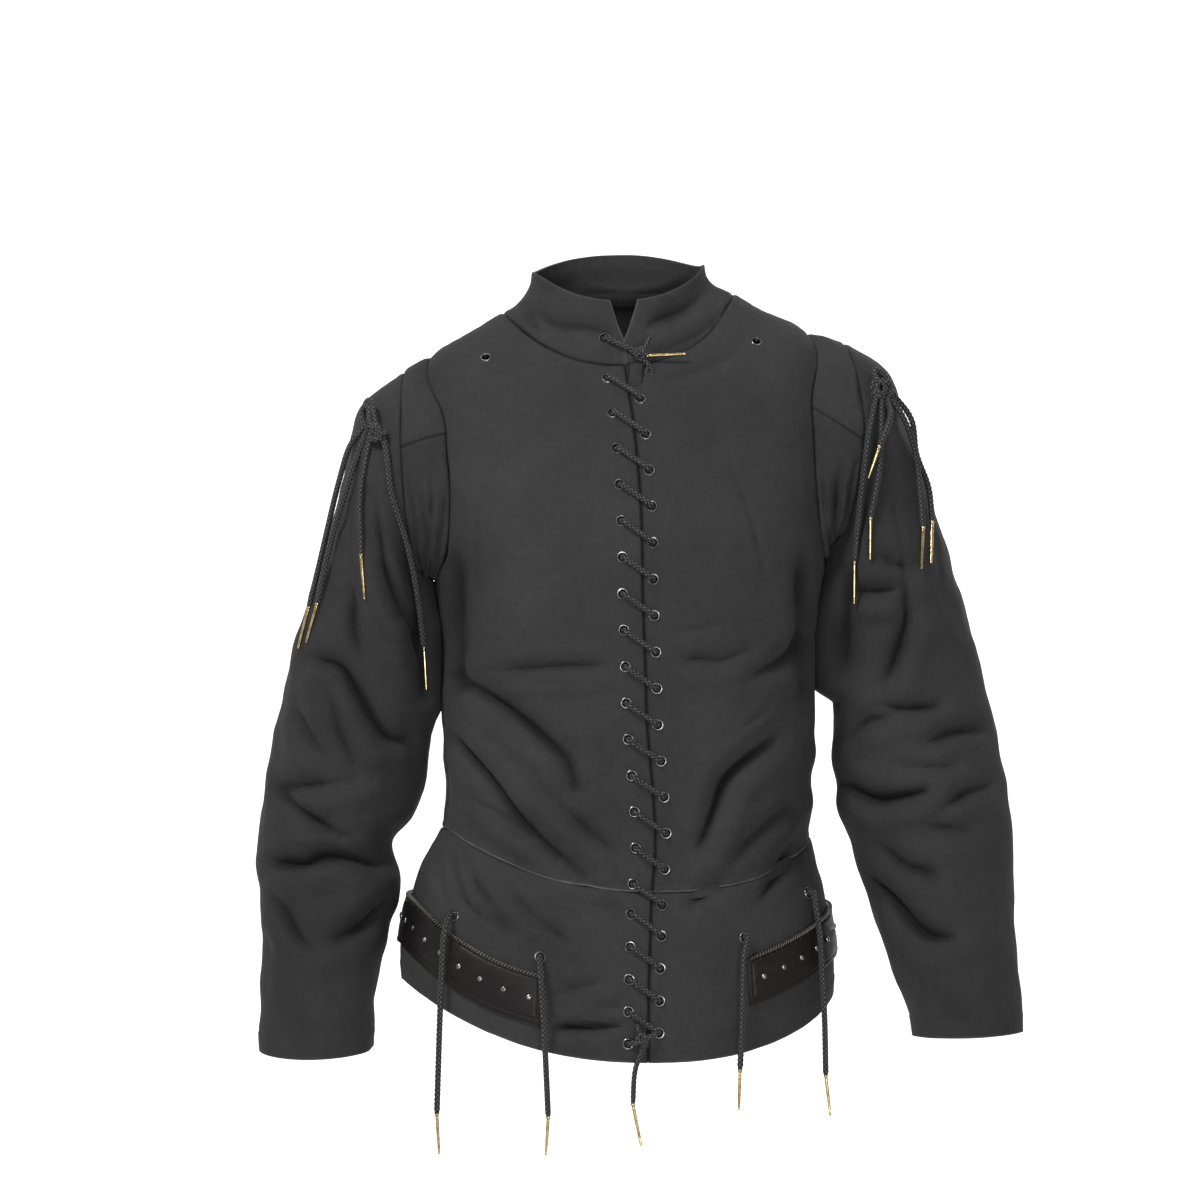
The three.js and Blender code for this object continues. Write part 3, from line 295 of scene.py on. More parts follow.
# Turns from the centre line to a laced edge and from a side seam's line to its panel.
OPENING_TURN, SEAM_TURN = 0.1, 0.07
LACING_INSET = {"right": 17, "left": 9}
LACING_ROWS = [(-12, 30, 1, 13), (-48, 30.7, 15, 18.5), (-503, 27, 5, 18.5)]
NECK_HEIGHT, WAIST_HEIGHT = -36, -485
CHEST_EYELETS = [(-116, -29), (118, -14)]
HOLE_RADIUS = 3.9
BAND_LINE = dict(level=-520, lean=-5, dip=57, dipLean=-22, half=20, end=25)
BAND_THICK, BAND_LIFT = 3.0, 3.4
STUD_PITCH, STUD_FIRST, STITCH_PITCH = 22, 14, 2.9

# ---------------------------------------------------------------- small maths
def smooth(x, low, high):
    k = np.clip((np.asarray(x, float) - low) / (high - low), 0, 1)
    return k * k * (3 - 2 * k)


def bump(x):
    return np.exp(-x * x)


def unit(v):
    v = np.asarray(v, float)
    return v / np.maximum(np.linalg.norm(v, axis=-1, keepdims=True), 1e-12)


def sine_cosine(degrees):
    return np.sin(np.radians(degrees)), np.cos(np.radians(degrees))


def circle(count):
    return np.linspace(0, 2 * math.pi, count, endpoint=False)


def run_along(points):
    """Distance of each point along the path."""
    return np.concatenate([[0], np.cumsum(np.linalg.norm(np.diff(points, axis=0), axis=1))])


def rise_along(p):
    """Mean distance of each row of a grid from its first row."""
    return np.concatenate([[0], np.cumsum(np.linalg.norm(np.diff(p, axis=0), axis=2).mean(1))])


def rows_at(table, t):
    """Rows of a table between its rows, each column on a Catmull-Rom curve."""
    t = np.asarray(t, float)
    i = np.clip(np.floor(t).astype(int), 0, len(table) - 2)
    k = (t - i)[..., None]
    a, b, c, d = (table[np.clip(i + o, 0, len(table) - 1)] for o in (-1, 0, 1, 2))
    inward, outward = (c - a) / 2, (d - b) / 2
    cubic = 2 * b - 2 * c + inward + outward
    square = 3 * c - 3 * b - 2 * inward - outward
    return b + k * (inward + k * (square + k * cubic))


def through(points, step):
    """Points about one step apart on a centripetal curve through the given ones."""
    p = np.asarray(points, float)
    p = np.vstack([2 * p[0] - p[1], p, 2 * p[-1] - p[-2]])
    out = []
    for a, b, c, d in zip(p[:-3], p[1:-2], p[2:-1], p[3:]):
        d0, d1, d2 = (max(np.linalg.norm(v) ** 0.5, 1e-4) for v in (b - a, c - b, d - c))
        m1 = ((b - a) / d0 - (c - a) / (d0 + d1) + (c - b) / d1) * d1
        m2 = ((c - b) / d1 - (d - b) / (d1 + d2) + (d - c) / d2) * d1
        k = np.linspace(0, 1, 24, endpoint=False)[:, None]
        out.append(b + k * (m1 + k * (3 * c - 3 * b - 2 * m1 - m2 + k * (2 * b - 2 * c + m1 + m2))))
    dense = np.vstack([*out, p[-2]])
    run = run_along(dense)
    at = np.linspace(0, run[-1], max(4, round(run[-1] / step)) + 1)
    return np.stack([np.interp(at, run, dense[:, i]) for i in range(3)], 1)


def waves(count, short, long, seed):
    """A smooth uneven field: the mean of many sine waves of random direction."""
    own = np.random.default_rng(seed)
    direction = unit(own.normal(size=(count, 3)))
    length = own.uniform(short, long, count)
    phase = own.uniform(0, 2 * math.pi, count)

    def field(p):
        out = np.zeros(p.shape[:-1])
        for d, l, f in zip(direction, length, phase):
            out += np.sin((p @ d) * 2 * math.pi / l + f)
        return out / math.sqrt(count / 2)

    return field


broad = waves(22, 70, 190, 3)
medium = waves(26, 24, 60, 4)
small = waves(30, 9, 20, 5)


# ---------------------------------------------------------------- surfaces of the form
def on_section(row, turn):
    s, c = sine_cosine(turn)
    soft = 2 / ROUNDNESS
    across = row[..., 3] * np.sign(s) * np.abs(s) ** soft
    along = -np.where(c > 0, row[..., 4], row[..., 5]) * np.sign(c) * np.abs(c) ** soft
    ts, tc = sine_cosine(row[..., 7])
    x = row[..., 6] + across * tc - along * ts
    z = row[..., 1] + (row[..., 0] - row[..., 1]) * np.maximum(c, 0) ** DIP_POWER
    z = z + (row[..., 2] - row[..., 1]) * np.maximum(-c, 0) ** DIP_POWER + row[..., 8] * x
    return np.stack([x, across * ts + along * tc, z], -1)


FINE_TURNS = np.linspace(0, 360, 7201)
CHEST_RUN = run_along(on_section(BODICE[4][None, :], FINE_TURNS))


def run_of(turn):
    return np.interp(turn, FINE_TURNS, CHEST_RUN)


def turn_of(run):
    return np.interp(run, CHEST_RUN, FINE_TURNS)


def neck_slope(p):
    """Fill the hollow where the collar meets the wearer's left shoulder."""
    p = p.copy()
    p[..., 2] += 9.5 * bump((p[..., 0] - 99) / 20) * smooth(p[..., 2], -22, 12)
    return p


def on_bodice(t, turn):
    return neck_slope(on_section(rows_at(BODICE, t), turn))


def on_skirt(t, turn):
    return on_section(rows_at(SKIRT, t), turn)


def on_collar(h, turn):
    h = np.asarray(h, float)[..., None]
    foot = BODICE[-1]
    draw = (1 - h) ** COLLAR_FLARE
    heights = foot[:3] + (COLLAR_TOP[:3] - foot[:3]) * h
    widths = COLLAR_TOP[3:] + (foot[3:7] - COLLAR_TOP[3:]) * draw
    rest = np.broadcast_to(foot[7:], heights.shape[:-1] + (4,))
    return neck_slope(on_section(np.concatenate([heights, widths, rest], -1), turn))


def on_sleeve(rows, t, turn):
    row = rows_at(rows, t)
    s, c = sine_cosine(turn)
    last = smooth(t, len(rows) - 2.5, len(rows) - 1)
    k = (1 + c) / 2
    x = row[..., 2] + (row[..., 0] - row[..., 2]) * k + row[..., 6] * s * s
    z = row[..., 3] + (row[..., 1] - row[..., 3]) * k - CUFF_DIP * last * np.maximum(s, 0)
    return np.stack([x, row[..., 4] - row[..., 5] * s, z], -1)


def armhole_row(turn):
    return ARMPIT_ROW + (TIP_ROW - ARMPIT_ROW) * (1 + sine_cosine(turn)[1]) / 2


def armhole_turn(t, front):
    row = rows_at(BODICE, t)
    inside = (t > ARMPIT_ROW) & (t < TIP_ROW)
    ahead = np.where(inside, np.minimum(row[..., 9], 90), 90)
    behind = np.where(inside, 180 - np.minimum(row[..., 10], 90), 90)
    return np.where(front, ahead, behind)


def on_armhole(side, turn):
    t = armhole_row(turn)
    return on_bodice(t, side * armhole_turn(t, sine_cosine(turn)[0] > 0))


def band_height(turn):
    s, c = sine_cosine(turn)
    b = BAND_LINE
    return b["level"] + b["lean"] * s - (b["dip"] + b["dipLean"] * s) * np.maximum(c, 0) ** DIP_POWER


def laced_edge_x(z):
    return 5 + 22 * smooth(-z, 0, 420) - 4 * smooth(-z, 480, 620)


# ---------------------------------------------------------------- folds
# Factors on each fold's stated width and depth, and the least width of a valley's core.
FOLD_TIGHT, FOLD_STRONG = 0.66, 1.2
FINEST_CORE = 3.4


def fold_height(folds, x, z):
    """Height of the cloth at x, z: a valley along each fold's run, with a roll on either side."""
    height = np.zeros_like(x)
    for wide, deep, run in folds:
        wide, deep = FOLD_TIGHT * wide, FOLD_STRONG * deep
        line = through([(a, b, 0) for a, b in run], 9)[:, :2]
        reach = 4.2 * wide
        near = (x > line[:, 0].min() - reach) & (x < line[:, 0].max() + reach)
        near &= (z > line[:, 1].min() - reach) & (z < line[:, 1].max() + reach)
        if not near.any():
            continue
        px, pz = x[near], z[near]
        best = np.full(px.shape, np.inf)
        along, above = np.zeros(px.shape), np.zeros(px.shape)
        for i, ((ax, az), (dx, dz)) in enumerate(zip(line, np.diff(line, axis=0))):
            k = np.clip(((px - ax) * dx + (pz - az) * dz) / (dx * dx + dz * dz), 0, 1)
            ex, ez = px - ax - k * dx, pz - az - k * dz
            far = np.hypot(ex, ez)
            closer = far < best
            best = np.where(closer, far, best)
            along = np.where(closer, (i + k) / (len(line) - 1), along)
            above = np.where(closer, ez, above)
        fade = np.sqrt(np.sin(np.pi * (0.08 + 0.84 * along)))
        roll = 0.425 - 0.125 * np.tanh(above / 3)
        core = 0.7 * bump(best / wide) + 0.5 * bump(best / max(0.36 * wide, FINEST_CORE))
        height[near] += deep * fade * (roll * bump((best - 2.1 * wide) / (1.2 * wide)) - core)
    return height


def facing(n, least, slope):
    """How far a surface faces the front, and how far the back, from 0 to 1."""
    return np.clip(least - slope * n[..., 1], 0, 1), np.clip(least + slope * n[..., 1], 0, 1)


def band_calm(p):
    turn = np.degrees(np.arctan2(p[..., 0], -p[..., 1]))
    inside = smooth(np.abs(turn), BAND_LINE["end"] - 8, BAND_LINE["end"])
    off = np.abs(p[..., 2] - band_height(turn))
    near = 1 - smooth(off, BAND_LINE["half"] + 14, BAND_LINE["half"] + 34)
    return 1 - inside * near


def body_relief(p, n):
    x, z = p[..., 0], p[..., 2]
    front, back = facing(n, 0.2, 1.3)
    from_lace = np.abs(x - laced_edge_x(z))
    soft = smooth(from_lace, 12, 30)
    height = front * smooth(from_lace, 22, 42) * fold_height(BODY_FOLDS, x, z)
    height += front * soft * fold_height(FINE_BODY, x, z)
    height += back * (fold_height(BACK_FOLDS, x, z) + fold_height(FINE_BACK, x, z))
    armpit = bump((x - np.where(x < 0, *ARMPIT_VALLEY)) / 9) * facing(n, 0, 1.6)[0]
    height -= 9 * armpit * smooth(z, -345, -300) * (1 - smooth(z, -225, -185))
    lively = np.where(front > back, soft, 1) * (0.5 + 0.7 * bump((z + 400) / 110))
    height += lively * (0.55 * broad(p) + 0.5 * medium(p))
    return band_calm(p) * height


def sleeve_relief(folds, fine, rows):
    """Relief of a sleeve whose folds run on behind it, turned over about its middle line."""
    middle_x, middle_z = (rows[::-1, :2] + rows[::-1, 2:4]).T / 2

    def creases(x, z):
        return fold_height(folds, x, z) + fold_height(fine, x, z)

    def relief(p, n):
        x, z = p[..., 0], p[..., 2]
        front, back = facing(n, 0.25, 1.2)
        up = rise_along(p)
        calm = 1 - smooth(up / up[-1], 0.86, 0.98)
        height = front * creases(x, z)
        height += 0.8 * back * creases(2 * np.interp(z, middle_z, middle_x) - x, z + 26)
        return calm[:, None] * (height + 0.8 * broad(p) + 0.6 * medium(p))

    return relief


def collar_relief(p, n):
    x, z = p[..., 0], p[..., 2]
    front, back = facing(n, 0.1, 1.3)
    height = 0.5 * broad(p) + 0.45 * medium(p) + back * fold_height(NAPE_FOLDS, x, z)
    return height + front * smooth(np.abs(x - 8), 8, 20) * fold_height(COLLAR_FOLDS, x, z)


def cap_relief(side):
    def relief(p, n):
        folds = facing(n, 0.3, 1.2)[0] * fold_height(CAP_FOLDS[side], p[..., 0], p[..., 2])
        return 0.35 * broad(p) + 0.5 * medium(p) + folds

    return relief


def gusset_relief(seed):
    """Gathers that run down the gusset and draw together at its lower end."""
    own = np.random.default_rng(seed)
    at = (0.2, 0.42, 0.62, 0.84) + own.uniform(-0.05, 0.05, 4)
    wide = own.uniform(0.05, 0.085, 4)
    deep = own.uniform(2.2, 3.6, 4)

    def relief(p, n):
        rows, cols = p.shape[:2]
        u, k = np.linspace(0, 1, cols)[None, :], np.linspace(0, 1, rows)[:, None]
        if seed % 2:
            u = 1 - u
        height = np.zeros((rows, cols))
        for a, w, d in zip(at, wide, deep):
            middle = a + (0.6 - a) * 0.55 * u ** 2 + 0.03 * np.sin(9 * u + 20 * a)
            grown = smooth(u, 0.02 + 0.3 * a, 0.5)
            height -= d * grown * (bump((k - middle) / w) - 0.5 * bump((k - middle - 1.8 * w) / w))
        return height * np.sin(np.pi * (0.06 + 0.88 * k)) + 0.3 * medium(p)

    return relief


# ---------------------------------------------------------------- mesh building
def spread(length, coarse, start=(), end=()):
    """Positions along a length, in millimetres, with extra ones at set distances from its ends."""
    low = [d for d in start if d < length / 2]
    high = [length - d for d in end if d < length / 2][::-1]
    first, last = (low or [0])[-1], (high or [length])[0]
    count = max(2, round((last - first) / coarse))
    middle = list(np.linspace(first, last, count + 1))
    return np.array((low[:-1] if low else []) + middle + (high[1:] if high else []))


# Distances of grid lines from a seam, hem, rim, opening, collar end and band edge.
SEAM_STEPS = (0, 0.9, 1.8, 3, 4.4, 5.6, 6.8, 8.2, 10)
HEM_STEPS = (0, 1, 2.4, 5, 8, 11, 14, 16, 18, 20, 23)
RIM_STEPS = (0, 0.9, 1.8, 3.2, 4.6, 6)
EYELET_STEPS = (0, 0.8, 1.8, 3.2, 4.8, 6.2, 7.6, 9, 10.4, 11.8, 13.2, 14.6, 16, 17.4, 18.8, 20.2, 21.6, 23,
                25)
COLLAR_STEPS = (0, 1.6, 3.6, 6.8, 10.8, 15.2, 20, 24.8, 29.6, 34.4, 39.2, 44, 48.8, 54)
STRAP_STEPS = (0, 0.8, 1.8, 3, 4.2, 5.4, 7)


def grid_normals(p, loop):
    if loop:
        across = np.roll(p, -1, 1) - np.roll(p, 1, 1)
    else:
        across = np.concatenate([p[:, 1:], p[:, -1:]], 1) - np.concatenate([p[:, :1], p[:, :-1]], 1)
    up = np.concatenate([p[1:], p[-1:]], 0) - np.concatenate([p[:1], p[:-1]], 0)
    return unit(np.cross(across, up))


def edge_distances(p):
    """Distance of each grid point from the left, right, bottom and top edge."""
    along = np.linalg.norm(np.diff(p, axis=1), axis=2)
    left = np.concatenate([np.zeros((len(p), 1)), np.cumsum(along, 1)], 1)
    rise = np.linalg.norm(np.diff(p, axis=0), axis=2)
    bottom = np.concatenate([np.zeros((1, p.shape[1])), np.cumsum(rise, 0)], 0)
    return left, left[:, -1:] - left, bottom, bottom[-1:] - bottom


# Paleness of the pale edge line (partly worn edge, partly painted highlight), depth of the shade painted
# along the groove, and how far in the pale line lies.
SEAM_SHADE = {"seam": (0.0, 1.0, 0), "over": (1.0, 0.0, 0.5), "under": (0.0, 0.9, 0),
              "opening": (0.0, 1.0, 0), "rim": (0.35, 0.0, 0.4), "hem": (0.4, 0.0, 0.3)}


def seam_profile(d, run, style, phase):
    """Height of the cloth beside a seam, a turned opening or a hem."""
    pucker = 0.28 * np.sin(run / 2.1 + 1.7 * np.sin(run / 13 + phase)) * np.exp(-d / 9) * smooth(d, 0.5, 3)
    if style == "seam":
        return -0.9 * bump(d / 1.3) + 0.35 * bump((d - 4.6) / 2.6) + pucker
    if style == "over":
        return 0.35 * bump((d - 1.5) / 2.2) - 0.35 * bump(d / 0.7) - 0.3 * bump((d - 5.4) / 0.8) + pucker
    if style == "under":
        return -1.5 * (1 - smooth(d, 0.4, 3.4)) + 0.3 * bump((d - 6) / 3) + pucker
    if style in ("opening", "rim"):
        return 0.4 * (1 - smooth(d, 8, 10)) - 0.5 * bump(d / 0.8)
    if style == "hem":
        edge = 0.5 * (1 - smooth(d, 15, 19)) - 0.35 * bump((d - 17.2) / 1.2)
        return edge + 0.16 * np.sin(run / 2.6 + 2 * np.sin(run / 17 + phase)) * bump((d - 18) / 7)
    return np.zeros_like(d)


def mesh_object(name, verts_mm, faces, uvs=None, attributes=None, sharp=38):
    mesh = bpy.data.meshes.new(name)
    mesh.from_pydata((np.asarray(verts_mm) * MM).tolist(), [], faces)
    if uvs is not None:
        layer = mesh.uv_layers.new(name="cloth")
        layer.data.foreach_set("uv", np.asarray(uvs, np.float32).ravel())
    for key, values in (attributes or {}).items():
        mesh.attributes.new(key, "FLOAT", "POINT").data.foreach_set("value", np.asarray(values, np.float32))
    mesh.polygons.foreach_set("use_smooth", [True] * len(mesh.polygons))
    mesh.set_sharp_from_angle(angle=math.radians(sharp))
    mesh.update()
    obj = bpy.data.objects.new(name, mesh)
    bpy.context.scene.collection.objects.link(obj)
    return obj


def pierce(q, quads, holes):
    """Move the rim of each hole in a grid onto its circle. Returns the points and which quads stay."""
    flat, keep = q.reshape(-1, 3), np.ones(len(quads), bool)
    middles = flat[quads].mean(1)
    for centre, axis in holes:
        depth = (middles - centre) @ axis
        plane = np.linalg.norm(middles - centre - depth[:, None] * axis, axis=1)
        inside = (plane < HOLE_RADIUS) & (np.abs(depth) < 14)
        rim = np.intersect1d(np.unique(quads[inside]), np.unique(quads[keep & ~inside]))
        keep &= ~inside
        foot = centre + ((flat[rim] - centre) @ axis)[:, None] * axis
        flat[rim] = foot + unit(flat[rim] - foot) * HOLE_RADIUS
    return flat.reshape(q.shape), keep


def shell(name, p, uv, relief, edges=(None,) * 4, loop=False, thick=2.0, holes=(), lift=0.0, calm=1.0):
    """A cloth wall round a grid of points (rows upwards, columns anticlockwise from above)."""
    n = grid_normals(p, loop)
    folded = (relief(p, n) if relief else 0) * np.ones(p.shape[:2])
    height = lift + folded
    left, other, bottom, top = edge_distances(p)
    # line: pale edge line, partly worn edge and partly painted highlight. groove: painted shade along seams,
    # openings and lapped edges.
    line, groove = np.zeros(p.shape[:2]), np.zeros(p.shape[:2])
    for k, (style, d, run) in enumerate(zip(edges, (left, other, bottom, top), (bottom, bottom, left, left))):
        if style:
            pale, dark, inset = SEAM_SHADE[style]
            height = height + seam_profile(d, run, style, 2.3 * k + len(name))
            line = np.maximum(line, pale * bump((d - inset) / 0.6))
            groove = np.maximum(groove, dark * bump(d / 1.5))
    q = p + n * (height + calm * 0.06 * small(p))[..., None]
    n = grid_normals(q, loop)
    rows, cols = q.shape[:2]
    total = rows * cols
    j, i = np.meshgrid(np.arange(rows - 1), np.arange(cols if loop else cols - 1), indexing="ij")
    low, high, right = j * cols, (j + 1) * cols, (i + 1) % cols
    quads = np.stack([low + i, low + right, high + right, high + i], -1).reshape(-1, 4)
    q, keep = pierce(q, quads, holes)
    kept = quads[keep]
    verts = np.vstack([(q + thick / 2 * n).reshape(-1, 3), (q - thick / 2 * n).reshape(-1, 3)])
    if loop:
        uv = np.concatenate([uv, 2 * uv[:, -1:] - uv[:, -2:-1]], 1)
    corner = np.stack([uv[:-1, :-1], uv[:-1, 1:], uv[1:, 1:], uv[1:, :-1]], 2).reshape(-1, 4, 2)[keep]
    ahead, behind = kept.ravel(), np.roll(kept, -1, 1).ravel()
    ahead_uv, behind_uv = corner.reshape(-1, 2), np.roll(corner, -1, 1).reshape(-1, 2)
    border = ~np.isin(ahead * total + behind, behind * total + ahead)
    a, b, ua, ub = ahead[border], behind[border], ahead_uv[border], behind_uv[border]
    faces = np.vstack([kept, kept[:, ::-1] + total, np.stack([b, a, a + total, b + total], 1)])
    uvs = np.concatenate([corner, corner[:, ::-1], np.stack([ub, ua, ua, ub], 1)]).reshape(-1, 2) * MM
    # Painted shade: fold valleys and seam grooves darken the colour through this attribute.
    painted_recess_shade = np.clip(np.maximum(-folded / 8, groove), -1, 1)
    wear_and_painted_light = {"wear_and_painted_light": np.tile(line.ravel(), 2), "painted_recess_shade": np.tile(painted_recess_shade.ravel(), 2)}
    return mesh_object(name, verts, faces.tolist(), uvs, wear_and_painted_light)


def tube_faces(rows, cols, closed=False, capped=True):
    """Faces of a tube whose points are rows of rings."""
    index = np.arange(rows * cols).reshape(rows, cols)
    ahead = np.roll(index, -1, 1)
    faces = np.stack([index[:-1], ahead[:-1], ahead[1:], index[1:]], -1).reshape(-1, 4).tolist()
    if closed:
        faces += np.stack([index[-1], ahead[-1], ahead[0], index[0]], -1).tolist()
    elif capped:
        faces += [index[0][::-1].tolist(), index[-1].tolist()]
    return faces


def swept(path, radius, angle):
    """Rings of points round a path. radius is given for each ring, or each point of each ring."""
    tangent = unit(np.gradient(path, axis=0))
    side = np.cross(tangent[0], (0.3, 0.5, 0.8))
    sides = []
    for t in tangent:
        side = unit(side - (side @ t) * t)
        sides.append(side)
    sides, others = np.array(sides)[:, None, :], np.cross(tangent, sides)[:, None, :]
    ring = np.cos(angle)[None, :, None] * sides + np.sin(angle)[None, :, None] * others
    return path[:, None, :] + ring * radius[..., None]


def turned(start, axis, profile, around, capped=True):
    """Vertices and faces of a turned piece along an axis: profile is (radius, distance)."""
    axis = unit(axis)
    side = unit(np.cross(axis, (0.31, 0.52, 0.79)))
    angle = circle(around)[:, None]
    ring = np.cos(angle) * side + np.sin(angle) * np.cross(axis, side)
    verts = np.array([start + axis * d + ring * r for r, d in profile])
    return verts.reshape(-1, 3), tube_faces(len(profile), around, capped=capped)


def worm(points, radius):
    """Vertices and faces of a small closed thread along a few points."""
    path = through(points, 0.6)
    width = radius * np.sqrt(np.sin(np.pi * np.linspace(0.06, 0.94, len(path))))
    verts = swept(path, width[:, None], circle(6))
    return verts.reshape(-1, 3), tube_faces(len(path), 6)


def many(name, parts, material, slot):
    """One mesh from many small ones, each (vertices, faces)."""
    verts, faces, base = [], [], 0
    for v, f in parts:
        verts.append(v)
        faces += [[i + base for i in face] for face in f]
        base += len(v)
    obj = mesh_object(name, np.vstack(verts), faces, None, {"relief": np.ones(base), "wear_and_painted_light": np.zeros(base)})
    return dress(obj, material, slot)


def strip_uv(p):
    left, _, bottom, _ = edge_distances(p)
    return np.stack(np.broadcast_arrays(left.mean(0)[None], bottom.mean(1)[:, None]), -1)


def dress(obj, material, slot, *nodes):
    obj.data.materials.append(material)
    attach(obj, "root")
    if nodes:
        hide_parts(*nodes)
    return obj


# ---------------------------------------------------------------- materials
class Shader:
    """A node tree with a Principled surface."""

    def __init__(self, name):
        self.material = bpy.data.materials.new(name)
        self.material.use_nodes = True
        self.tree = self.material.node_tree
        self.tree.nodes.clear()
        self.surface = self.add("ShaderNodeBsdfPrincipled")
        self.add("ShaderNodeOutputMaterial", Surface=self.surface.outputs["BSDF"])

    def feed(self, socket, value):
        """Link another node's output into a socket, or set the socket's own value."""
        if isinstance(value, bpy.types.NodeSocket):
            self.tree.links.new(value, socket)
        elif isinstance(value, tuple) and socket.type == "RGBA":
            socket.default_value = (*value, 1)
        else:
            socket.default_value = value

    def add(self, kind, **values):
        """A node: each value goes to the input of that name, or else to the node's own property."""
        node = self.tree.nodes.new(kind)
        for key, value in values.items():
            label = key.replace("_", " ")
            if label in node.inputs:
                self.feed(node.inputs[label], value)
            else:
                setattr(node, key, value)
        return node

    def place(self):
        return self.add("ShaderNodeTexCoord").outputs["Object"]

    def attribute(self, name):
        return self.add("ShaderNodeAttribute", attribute_name=name).outputs["Fac"]

    def noise(self, vector, scale, detail=3.0, stretch=None):
        if stretch:
            vector = self.add("ShaderNodeMapping", Scale=stretch, Vector=vector).outputs["Vector"]
        return self.add("ShaderNodeTexNoise", Scale=scale, Detail=detail, Vector=vector).outputs["Fac"]

    def maths(self, operation, a, b):
        node = self.add("ShaderNodeMath", operation=operation)
        self.feed(node.inputs[0], a)
        self.feed(node.inputs[1], b)
        return node.outputs[0]

    def span(self, value, low, high, to_low=0.0, to_high=1.0, **how):
        limits = {"From_Min": low, "From_Max": high, "To_Min": to_low, "To_Max": to_high}
        return self.add("ShaderNodeMapRange", Value=value, **limits, **how).outputs[0]

    def ramp(self, fac, *stops):
        node = self.add("ShaderNodeValToRGB", Fac=fac)
        for element, (at, grey) in zip(node.color_ramp.elements, stops):
            element.position = at
            element.color = (grey, grey, grey, 1)
        return node.outputs["Color"]

    def mix(self, fac, a, b, blend="MIX"):
        node = self.add("ShaderNodeMix", data_type="RGBA", blend_type=blend)
        for k, value in ((0, fac), (6, a), (7, b)):
            self.feed(node.inputs[k], value)
        return node.outputs[2]

    def bump(self, height, distance, strength, **below):
        node = self.add("ShaderNodeBump", Strength=strength, Distance=distance, Height=height, **below)
        return node.outputs["Normal"]

    def set(self, **sockets):
        for key, value in sockets.items():
            self.feed(self.surface.inputs[key.replace("_", " ")], value)


def times(tone, k):
    return tuple(c * k for c in tone)


# Scale of the wave texture for a thread each 0.85 mm.
WEAVE_SCALE = 314 / 0.85


def canvas_material(name, tone):
    """Plain weave in faded black cotton: threads by UV, slubs, worn patches, painted shade in folds and seam
    grooves, and pale edge lines that are partly worn edges and partly painted highlight.
    """
    m = Shader(name)
    uv, place = m.add("ShaderNodeUVMap").outputs["UV"], m.place()
    wave = dict(Vector=uv, Scale=WEAVE_SCALE, Distortion=1.2, Detail=1.5, Detail_Scale=0.25)
    threads = [m.add("ShaderNodeTexWave", bands_direction=d, **wave).outputs["Fac"] for d in ("X", "Y")]
    weave = m.maths("MULTIPLY", *threads)
    slubs = m.maths("ADD", m.noise(uv, 900, 2, (0.06, 1, 1)), m.noise(uv, 900, 2, (1, 0.06, 1)))
    patches = m.noise(place, 9, 4)
    base = m.mix(m.ramp(patches, (0.3, 0.0), (0.7, 1.0)), times(tone, 0.8), times(tone, 1.22))
    base = m.mix(0.5, base, m.ramp(slubs, (0.55, 0.55), (1.0, 1.0)), "MULTIPLY")
    base = m.mix(0.35, base, m.ramp(weave, (0.0, 0.45), (0.6, 1.0)), "MULTIPLY")
    base = m.mix(0.25, base, m.ramp(m.noise(place, 160, 3), (0.35, 0.6), (0.65, 1.0)), "MULTIPLY")
    # Painted shade: the colour darkens in fold valleys and seam grooves.
    shade = m.maths("MULTIPLY", m.span(m.attribute("painted_recess_shade"), 0.12, 0.95), 0.85)
    base = m.mix(shade, base, times(tone, 0.15))
    # Pale edge line: partly worn edge, partly painted highlight.
    edge_line_breakup = m.ramp(m.noise(place, 90, 2), (0.2, 0.5), (0.6, 1.0))
    base = m.mix(m.maths("MULTIPLY", m.attribute("wear_and_painted_light"), edge_line_breakup), base, times(tone, 3.4))
    height = m.maths("ADD", m.maths("MULTIPLY", weave, 0.6), m.maths("MULTIPLY", slubs, 0.5))
    normal = m.bump(m.noise(place, 240, 4), 0.0003, 0.35, Normal=m.bump(height, 0.00018, 0.55))
    m.set(Base_Color=base, Roughness=m.ramp(patches, (0.2, 0.82), (0.8, 0.94)), Normal=normal)
    m.set(Sheen_Weight=0.02, Sheen_Roughness=0.5, Specular_IOR_Level=0.16)
    return m.material


def leather_material(name):
    """Oiled dark leather: fine grain, olive black and purple brown in turn."""
    m = Shader(name)
    place = m.place()
    grain = m.add("ShaderNodeTexVoronoi", Scale=700, Vector=place).outputs["Distance"]
    hue = m.ramp(m.noise(place, 14, 3), (0.35, 0.0), (0.65, 1.0))
    base = m.mix(hue, (0.0074, 0.0074, 0.0056), (0.0046, 0.0032, 0.0034))
    scuff = m.noise(place, 60, 6, (1, 1, 3))
    base = m.mix(m.ramp(scuff, (0.58, 0.0), (0.75, 0.5)), base, (0.013, 0.0125, 0.011))
    base = m.mix(m.maths("MULTIPLY", m.attribute("wear_and_painted_light"), 0.5), base, (0.034, 0.032, 0.02))
    height = m.maths("ADD", grain, m.maths("MULTIPLY", m.noise(place, 1500, 3), 0.4))
    m.set(Base_Color=base, Roughness=m.ramp(scuff, (0.3, 0.4), (0.7, 0.62)))
    m.set(Normal=m.bump(height, 0.0003, 0.35))
    m.set(Specular_IOR_Level=0.2, Coat_Weight=0.02, Coat_Roughness=0.35)
    return m.material


